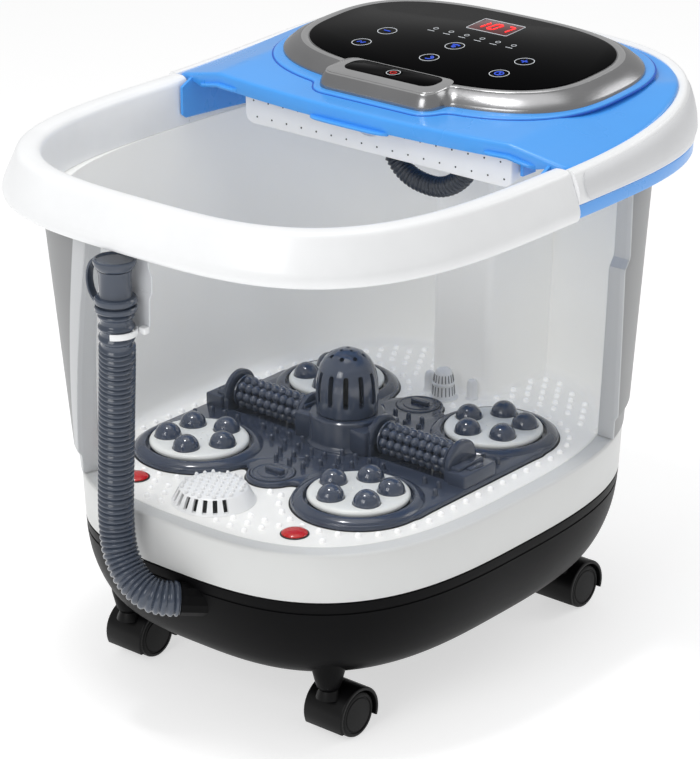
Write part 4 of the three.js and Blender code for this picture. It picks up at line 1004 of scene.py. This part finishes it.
# ---------- massage floor
def plate_field(x, y):
    """Signed distance to the massage base's outline: four lobes round the discs and a waist."""
    f = sd_box(x, y, 0, 0, 100, 66, 10)
    for sx in (-1, 1):
        f = np.minimum(f, sd_box(x, y, sx * 100, 0, 29.5, 76, 4))
        for sy in (-1, 1):
            f = smooth_min(f, sd_circle(x, y, sx * DISC_X, sy * DISC_Y, 50), 5)
    for s in (-1, 1):
        f = smooth_min(f, sd_box(x, y, 0, s * 74, 25, 14, 4), 8)
        f = smooth_min(f, sd_circle(x, y, 0, s * LOCK_Y, 20), 5)
    return f


def plate_loft(rows):
    return loft([with_z(contour(plate_field, level, 360), z) for level, z in rows])


base_plate = plate_loft([(0, 160.35), (0, 162.6), (-0.5, 163.5), (-1.6, 164)])
# thin black ring on the floor round the massage base's foot: a painted shadow line
piece("plate_foot_shade_line", plate_loft([(1.1, 159.9), (1.1, 160.22), (0.2, 160.25)]), SHADE_BLACK, "unit_slate")
collar = lathe([(49.4, 161.5), (49.2, 163.2), (48.2, 164.6), (46.4, 165.9), (44.4, 166.9), (42.6, 167.4),
                (41.2, 167.3), (40.5, 166.6), (40.3, 165.4), (40.2, 162.2)], 96, loop=True)
collars = [moved(collar, sx * DISC_X, sy * DISC_Y) for sx, sy, _ in CORNERS]
wells = [moved(rod(40, 162.6, 180, 72), sx * DISC_X, sy * DISC_Y) for sx, sy, _ in CORNERS]
for s in (-1, 1):
    wells.append(moved(rod(LOCK_R + 0.7, 161.8, 180, 56), 0, s * LOCK_Y))
    wells.append(block(71, 29.4, 20, s * 72, 0, 171.4, 0.4))
base_plate = cut(base_plate, *wells)
fittings = [lathe([(8, 163)] + [(COLUMN_R + dr, z) for dr, z in (
    (2.6, 163), (2.4, 164.6), (0.9, 165.8), (0.1, 168), (0, 184.4), (-0.4, 186), (-1.5, 186.9), (-3, 187))]
    + [(8, 187)], 72, loop=True)]
for s in (-1, 1):
    fittings.append(block(16, 42, 20, s * 27, 0, 173.5, 1.6))
    fittings.append(block(6, 26, 5, s * 33.5, 0, 184, 1.2))
    for fx in (ROLLER_IN - 3.5, ROLLER_OUT + 3.5):
        x0, x1 = s * fx - 2.6, s * fx + 2.6
        flange = [(3.6, x0), (FLANGE_R - 3, x0), (FLANGE_R - 1, x0 + 0.3), (FLANGE_R, x0 + 1.2),
                  (FLANGE_R, x1 - 1.2), (FLANGE_R - 1, x1 - 0.3), (FLANGE_R - 3, x1), (3.6, x1)]
        fittings.append(moved(lathe(flange, 56, loop=True, axis="X"), z=ROLLER_Z))
        fittings.append(block(5.2, 34, 12, s * fx, 0, 167.4, 0.6))
        fittings.append(moved(rod(5, x0 - 0.6, x1 + 0.6, 28, "X"), z=ROLLER_Z))
    fittings.append(block(16.5, 38, 14, s * (ROLLER_OUT + 14), 0, 167, 1.4))
    fittings.append(block(8, 30, 4, s * (ROLLER_OUT + 10), 0, 174.6, 1.2))
    fittings.append(block(5, 16, 3, s * (ROLLER_OUT + 17), 0, 174, 1.0))


def peg_fits(x, y):
    """Clear of the base's edge, the discs, the rollers, the column and the lock discs."""
    off_discs = hypot(abs(x) - DISC_X, abs(y) - DISC_Y) >= 52.5
    off_rollers = (abs(y) >= 20.5 or abs(x) >= 137) and hypot(x, y) >= 33.5
    off_locks = hypot(x, abs(y) - LOCK_Y) >= 20
    return off_discs and off_rollers and off_locks and float(plate_field(x, y)) <= -5


peg = lathe([(0, 163.6), (2.4, 163.6), (2.0, 164.4), (1.9, 167.6), (1.6, 168.7), (0.9, 169.3),
             (0, 169.5)], 12)
grid = [(gx + (3.3 if int(round(gy / 12.5)) % 2 else -3.3), gy)
        for gy in np.arange(-66, 67, 12.5) for gx in np.arange(-136, 137, 13.2)]
pegs = [moved(peg, x, y) for x, y in grid if peg_fits(x, y)]
piece("massage_plate", merge(base_plate, *collars, *fittings, *pegs), SLATE_LOW, "unit_slate",
      replaces="massage_base", sharp=34)

crown = [(0.3, 8), (0.3, 18), (0, 25)]
crown = [(CAP_R + dr, COLUMN_Z + h) for dr, h in crown] + [(CAP_R * k, COLUMN_Z + h) for k, h in (
    (0.955, 31), (0.87, 37), (0.74, 42), (0.56, 46), (0.32, 48.8))]
cap = lathe([(0, 189), (19, 189), (19, COLUMN_Z + 0.4), (CAP_R - 0.6, COLUMN_Z + 0.4),
             (CAP_R, COLUMN_Z + 1.2)] + crown + [(0, CAP_Z - 0.3)], 96)
hollow = lathe([(0, 196), (18, 196)] + [(r - 3.2, z - 2.6) for r, z in crown[1:]] + [(0, CAP_Z - 4)], 72)
p = smooth_poly([(-2, -12.5), (2, -12.5), (2, 12.5), (-2, 12.5)], 1.95, 6) + (0, COLUMN_Z + 22)
slot = loft([np.column_stack([np.full(len(p), d), p]) for d in (14, 30)])
tools = [turned(slot, "Z", TAU * (i + 0.25) / 12) for i in range(12)]
vent = moved(turned(rod(1.9, -7, 7, 16), "Y", radians(33)), 12.2, 0, 231.5)
tools += [turned(vent, "Z", TAU * (i + 0.5) / 8) for i in range(8)]
tools += [moved(rod(1.5, 228, 245, 14), 4.4 * cos(TAU * i / 3), 4.4 * sin(TAU * i / 3))
          for i in range(3)]
cap = cut(cut(cap, hollow), *tools)
plug = lathe([(r, COLUMN_Z + h) for r, h in ((0, -9.5), (7, -9.5), (7.5, -8.5), (7.5, 2), (0, 2))], 40)
piece("column_cap", merge(cap, plug), SLATE, "unit_slate", body="center_cap",
      replaces="center_cap", sharp=32)
# black lining inside the hollow cap: painted shade that darkens what shows through its slots and holes
cap_shade_lining = lathe([(0, 197), (15.5, 197), (15.5, 222), (11, 229), (0, 230)], 40)
piece("column_cap_shade_lining", cap_shade_lining, SHADE_BLACK, "unit_slate", body="center_cap")

disc = lathe([(0, 165.3)] + [(DISC_R - dr, z) for dr, z in (
    (1.6, 165.3), (0.4, 165.8), (0, 166.8), (0.1, 168), (1, 169.3), (2.6, 170), (5, 170.35))]
    + [(14, 170.6), (0, 170.7)], 96)
studs = [moved(dome(0.9, 170.3, 0.9, 10, 3), 6 * cos(a), 6 * sin(a))
         for a in np.arange(5) * TAU / 5 + 0.6]
ball = lathe([(0, 164), (DOME_R, 164), (DOME_R, 170.2)] + [
    (DOME_R * cos(a), 170.2 + DOME_R * sin(a)) for a in np.linspace(0.16, pi / 2, 9)], 40)
spindle = lathe([(0, 138), (15.6, 138), (16, 139), (16, 145), (15.6, 146), (3.9, 146), (3.9, 164),
                 (0, 164)], 40)
hub = [rod(36, 162.9, 165, 64), spindle]
for sx, sy, where in CORNERS:
    spots = [(DOME_RING * cos(a), DOME_RING * sin(a))
             for a in (TAU * i / 5 + (pi if sx > 0 else 0) for i in range(5))]
    top = cut(disc, *[moved(rod(DOME_R + 0.35, 160, 176, 40), x, y) for x, y in spots])
    piece(f"disc_top_{where}", moved(merge(top, *studs), sx * DISC_X, sy * DISC_Y), DISC, "shell_white",
          body=f"disc_{where}", replaces=f"massage_disc_{where}", sharp=38)
    domes = [moved(ball, x, y) for x, y in spots]
    piece(f"dome_set_{where}", moved(merge(*domes, *hub), sx * DISC_X, sy * DISC_Y), SLATE, "unit_slate",
          body=f"disc_{where}", replaces=f"disc_hub_{where}", sharp=38)

BEADS, BARS = 9, 8
x0, x1 = ROLLER_IN + 2.2, ROLLER_OUT - 2.2
pitch = (x1 - x0) / BEADS
bar = [(0, x0)] + [(1.55 + 2.55 * sin(pi * u) ** 0.75, x0 + pitch * (b + u))
                   for b in range(BEADS) for u in np.linspace(0.0, 1.0, 8)[:-1]] + [(1.55, x1), (0, x1)]
end = [(0, 6.4), (2.9, 6.4), (2.9, 1), (12.6, 0.9), (13.2, 0.2), (12.8, -0.7)]
axle = lathe([(r, x0 - h) for r, h in end] + [(6, x0 + 0.9), (5.6, x1 - 0.9)]
             + [(r, x1 + h) for r, h in end[::-1]], 36, axis="X")
for s, side in SIDES:
    angles = [TAU * i / BARS + (0 if s > 0 else pi) for i in range(BARS)]
    bars = [moved(lathe(bar, 14, axis="X"), 0, 9.35 * cos(a), 9.35 * sin(a)) for a in angles]
    v, f = merge(*bars, axle)
    piece(f"beaded_roller_{side}", (v * (s, 1, 1) + (0, 0, ROLLER_Z), f), SLATE, "unit_slate",
          body=f"roller_{side}", replaces=f"roller_{side}", sharp=50)

lock = lathe([(0, 162.1)] + [(LOCK_R - dr, z) for dr, z in (
    (0.5, 162.1), (0, 162.6), (0, 164.2), (0.6, 164.9), (2, 165), (2.6, 164.5), (5.5, 164.4), (6, 165))]
    + [(0, 165.1)], 64)
lock = merge(lock, slab(17, 6.4, 3, 164.6, 168, 1, 1.6, 1.0, 6), moved(dome(1.2, 164.8, 1.0), 9.5, -4))
for s, row in ROWS:
    piece(f"lock_disc_{row}", moved(lock, 0, s * LOCK_Y), SLATE_LOW, "unit_slate", body=f"lock_{row}",
          replaces=f"lock_{row}", sharp=34)

# ---------- floor fittings and pimples
vent = lathe([(0, 160.25), (31.4, 160.25), (31, 161), (29.8, 162.5), (25.8, 170.2), (24.4, 171.4), (21, 172),
              (0, 172.4)], 96)
vent = cut(vent, lathe([(0, 158), (27.4, 158), (27.2, 162.5), (23.4, 169.4), (0, 170)], 72))
slit = slab(14, 3.4, 1.4, 161.6, 170.6, 28, 0, 0.4, 5)
vent = cut(vent, *[turned(slit, "Z", radians(205 + 15.6 * i)) for i in range(9)])
grid = [(i * 6.3 + (3.15 if j % 2 else 0), j * 5.6) for j in range(-4, 5) for i in range(-4, 5)]
bumps = [moved(dome(1.55, 172.0, 2.2, 10, 4), x, y) for x, y in grid if hypot(x, y) < 24.5]
piece("vent_dome", moved(merge(vent, *bumps), VENT_X, VENT_Y), WHITE, "shell_white",
      replaces="vent_grille", sharp=34)
# black cone under the vent dome: painted shade that darkens its slits
vent_shade = lathe([(0, 160.3), (26.5, 160.3), (22.3, 168.6), (0, 168.8)], 48)
piece("vent_painted_shade", moved(vent_shade, VENT_X, VENT_Y), SHADE_BLACK, "base_black")

lens = lathe([(0, 160.3), (9.6, 160.3), (9.6, 161.2), (8.8, 162), (6.4, 162.8), (3, 163.3), (0, 163.4)], 56)
# thin black ring round each lamp lens: painted shade in the gap
rim = lathe([(9.7, 160.2), (10.6, 160.2), (10.6, 160.6), (10.2, 160.9), (9.7, 160.9)], 56, loop=True)
post = lathe([(0, 160.3), (5.4, 160.3), (5, 161), (4.4, 161.8), (4.3, 171), (4.0, 173.6), (3.0, 175.6),
              (1.5, 176.4), (0, 176.6)], 36)
for s, side in SIDES:
    piece(f"lamp_lens_{side}", moved(lens, s * LENS_X, LENS_Y), LENS_RED, "lens_red",
          replaces=f"red_lens_{side}", sharp=38)
    piece(f"lamp_gap_shade_{side}", moved(rim, s * LENS_X, LENS_Y), SHADE_BLACK, "lens_red", sharp=38)
    piece(f"level_post_{side}", moved(post, s * 18.5, 127.5 + s * 3.5), WHITE, "shell_white",
          replaces=f"level_peg_{side}")

strainer = lathe([(0, 160.3), (11.4, 160.3), (11.4, 161.2), (9.6, 162), (9.0, 164), (8.4, 172), (8.9, 172.4),
                  (8.9, 173.2), (8.2, 173.6), (7.2, 180.4), (6.2, 183), (4.8, 184.6), (2.6, 185.2),
                  (0, 185.3)], 72)
piece("strainer_thimble", moved(strainer, 0, STRAINER_Y), WHITE, "shell_white",
      replaces="strainer", sharp=34)
# grey strokes on the strainer stand for its slits: painted shade, not cut openings
slit_shades = [turned(tube([(r0, 0, z0), (r1, 0, z1)], 0.4, 6), "Z", TAU * i / 18) for i in range(18)
         for r0, z0, r1, z1 in ((8.95, 163.8, 8.45, 171.2), (8.1, 174.6, 7.1, 180.6))]
piece("strainer_slit_shades", moved(merge(*slit_shades), 0, STRAINER_Y), SLIT_SHADE, "shell_white")


def clear_of_fittings(x, y, vent_gap, lens_gap, strainer_gap):
    off_vent = hypot(x - VENT_X, y - VENT_Y) >= vent_gap
    off_lenses = hypot(abs(x) - LENS_X, y - LENS_Y) >= lens_gap
    return off_vent and off_lenses and (y <= 100 or hypot(x, y - STRAINER_Y) >= strainer_gap)


def open_floor(x, y):
    """Inside the basin's wall and clear of the massage base, the housing and the fittings."""
    a, f, b = body_dims(FLOOR_Z, 14)
    reach = (abs(x / a) ** ROUND + (abs(y) / (f if y < 0 else b)) ** ROUND) ** (1 / ROUND)
    at_housing = abs(x) < 34 and y > 119
    return (reach <= 1 - 5.5 / 165 and float(plate_field(x, y)) >= 6 and not at_housing
            and clear_of_fittings(x, y, 35, 14.5, 15))


# one row of pimples follows the massage base, and a staggered grid fills the rest
line = contour(plate_field, 8.0, 2400)
length = np.linalg.norm(np.diff(np.vstack([line, line[:1]]), axis=0), axis=1).sum()
spots = [(x, y) for x, y in resample(line, int(length / 14.5), True)
         if clear_of_fittings(x, y, 34, 13, 14) and abs(x / body_dims(FLOOR_Z, 14)[0]) <= 0.97]
for j in range(-18, 21):
    for i in range(-13, 14):
        x, y = i * 13.6 + (6.8 if j % 2 else 0), j * 11.2 - 3
        if open_floor(x, y) and all(hypot(x - px, y - py) >= 10.5 for px, py in spots):
            spots.append((x, y))
pimple = lathe([(0, 159.9), (2.3, 159.9), (2.3, 161.2), (2.15, 162), (1.7, 162.6), (0.9, 163),
                (0, 163.1)], 14)
piece("floor_pimples", merge(*[moved(pimple, x, y) for x, y in spots]), PIMPLE, "basin_white", sharp=60)


# ---------- casters
def round_axle(r, a):
    return TRAIL + r * cos(a), WHEEL_R + 0.4 + r * sin(a)


hood_edge = smooth_poly([(-18, 18.9), (-18, 21.6), (18, 21.6), (18, 18.9)], [0.4, 1.2, 1.2, 0.4], 4)
hood = loft([np.array([(x, *round_axle(r, a)) for x, r in hood_edge])
             for a in np.linspace(radians(-20), radians(205), 34)])
web_edge = [round_axle(19.4, a) for a in np.linspace(radians(-25), radians(205), 30)]
web = loft([np.array([(x, y, z) for y, z in web_edge]) for x in (-2.7, 2.7)])
neck = lathe([(0, 33), (9.6, 33), (8.6, 36), (7, 39.6), (0, 39.6)], 40)
stem = lathe([(0, 35), (3.9, 35), (3.9, 57.4), (3.4, 58), (0, 58)], 24)
fork = merge(hood, web, neck, stem)
wheels = []
for s in (-1, 1):
    x0, x1 = s * 4.3, s * 16.6
    tread = [(0, x0), (WHEEL_R - 1.4, x0), (WHEEL_R - 0.3, x0 + s * 0.7), (WHEEL_R, x0 + s * 1.8)]
    face = [(WHEEL_R - dr, x1 - s * dx) for dr, dx in (
        (0, 2.2), (0.5, 0.8), (1.8, 0), (3.0, 0), (3.4, 0.7), (4.2, 0.8), (4.8, 0.2))]
    wheels.append(lathe(tread + face + [(5, x1 + s * 0.2), (0, x1 + s * 0.25)], 56, axis="X"))
wheels = moved(merge(*wheels, rod(3, -8, 8, 20, "X")), 0, TRAIL, WHEEL_R)
for sx, sy, where in CORNERS:
    place = sx * CASTER_X, sy * CASTER_Y
    piece(f"caster_fork_{where}", moved(fork, *place), CASTER, "base_black", body=f"swivel_{where}",
          replaces=f"caster_hood_{where}", sharp=34)
    piece(f"twin_wheels_{where}", moved(wheels, *place), TYRE, "wheel_black", body=f"wheels_{where}",
          replaces=f"caster_wheels_{where}", sharp=34)
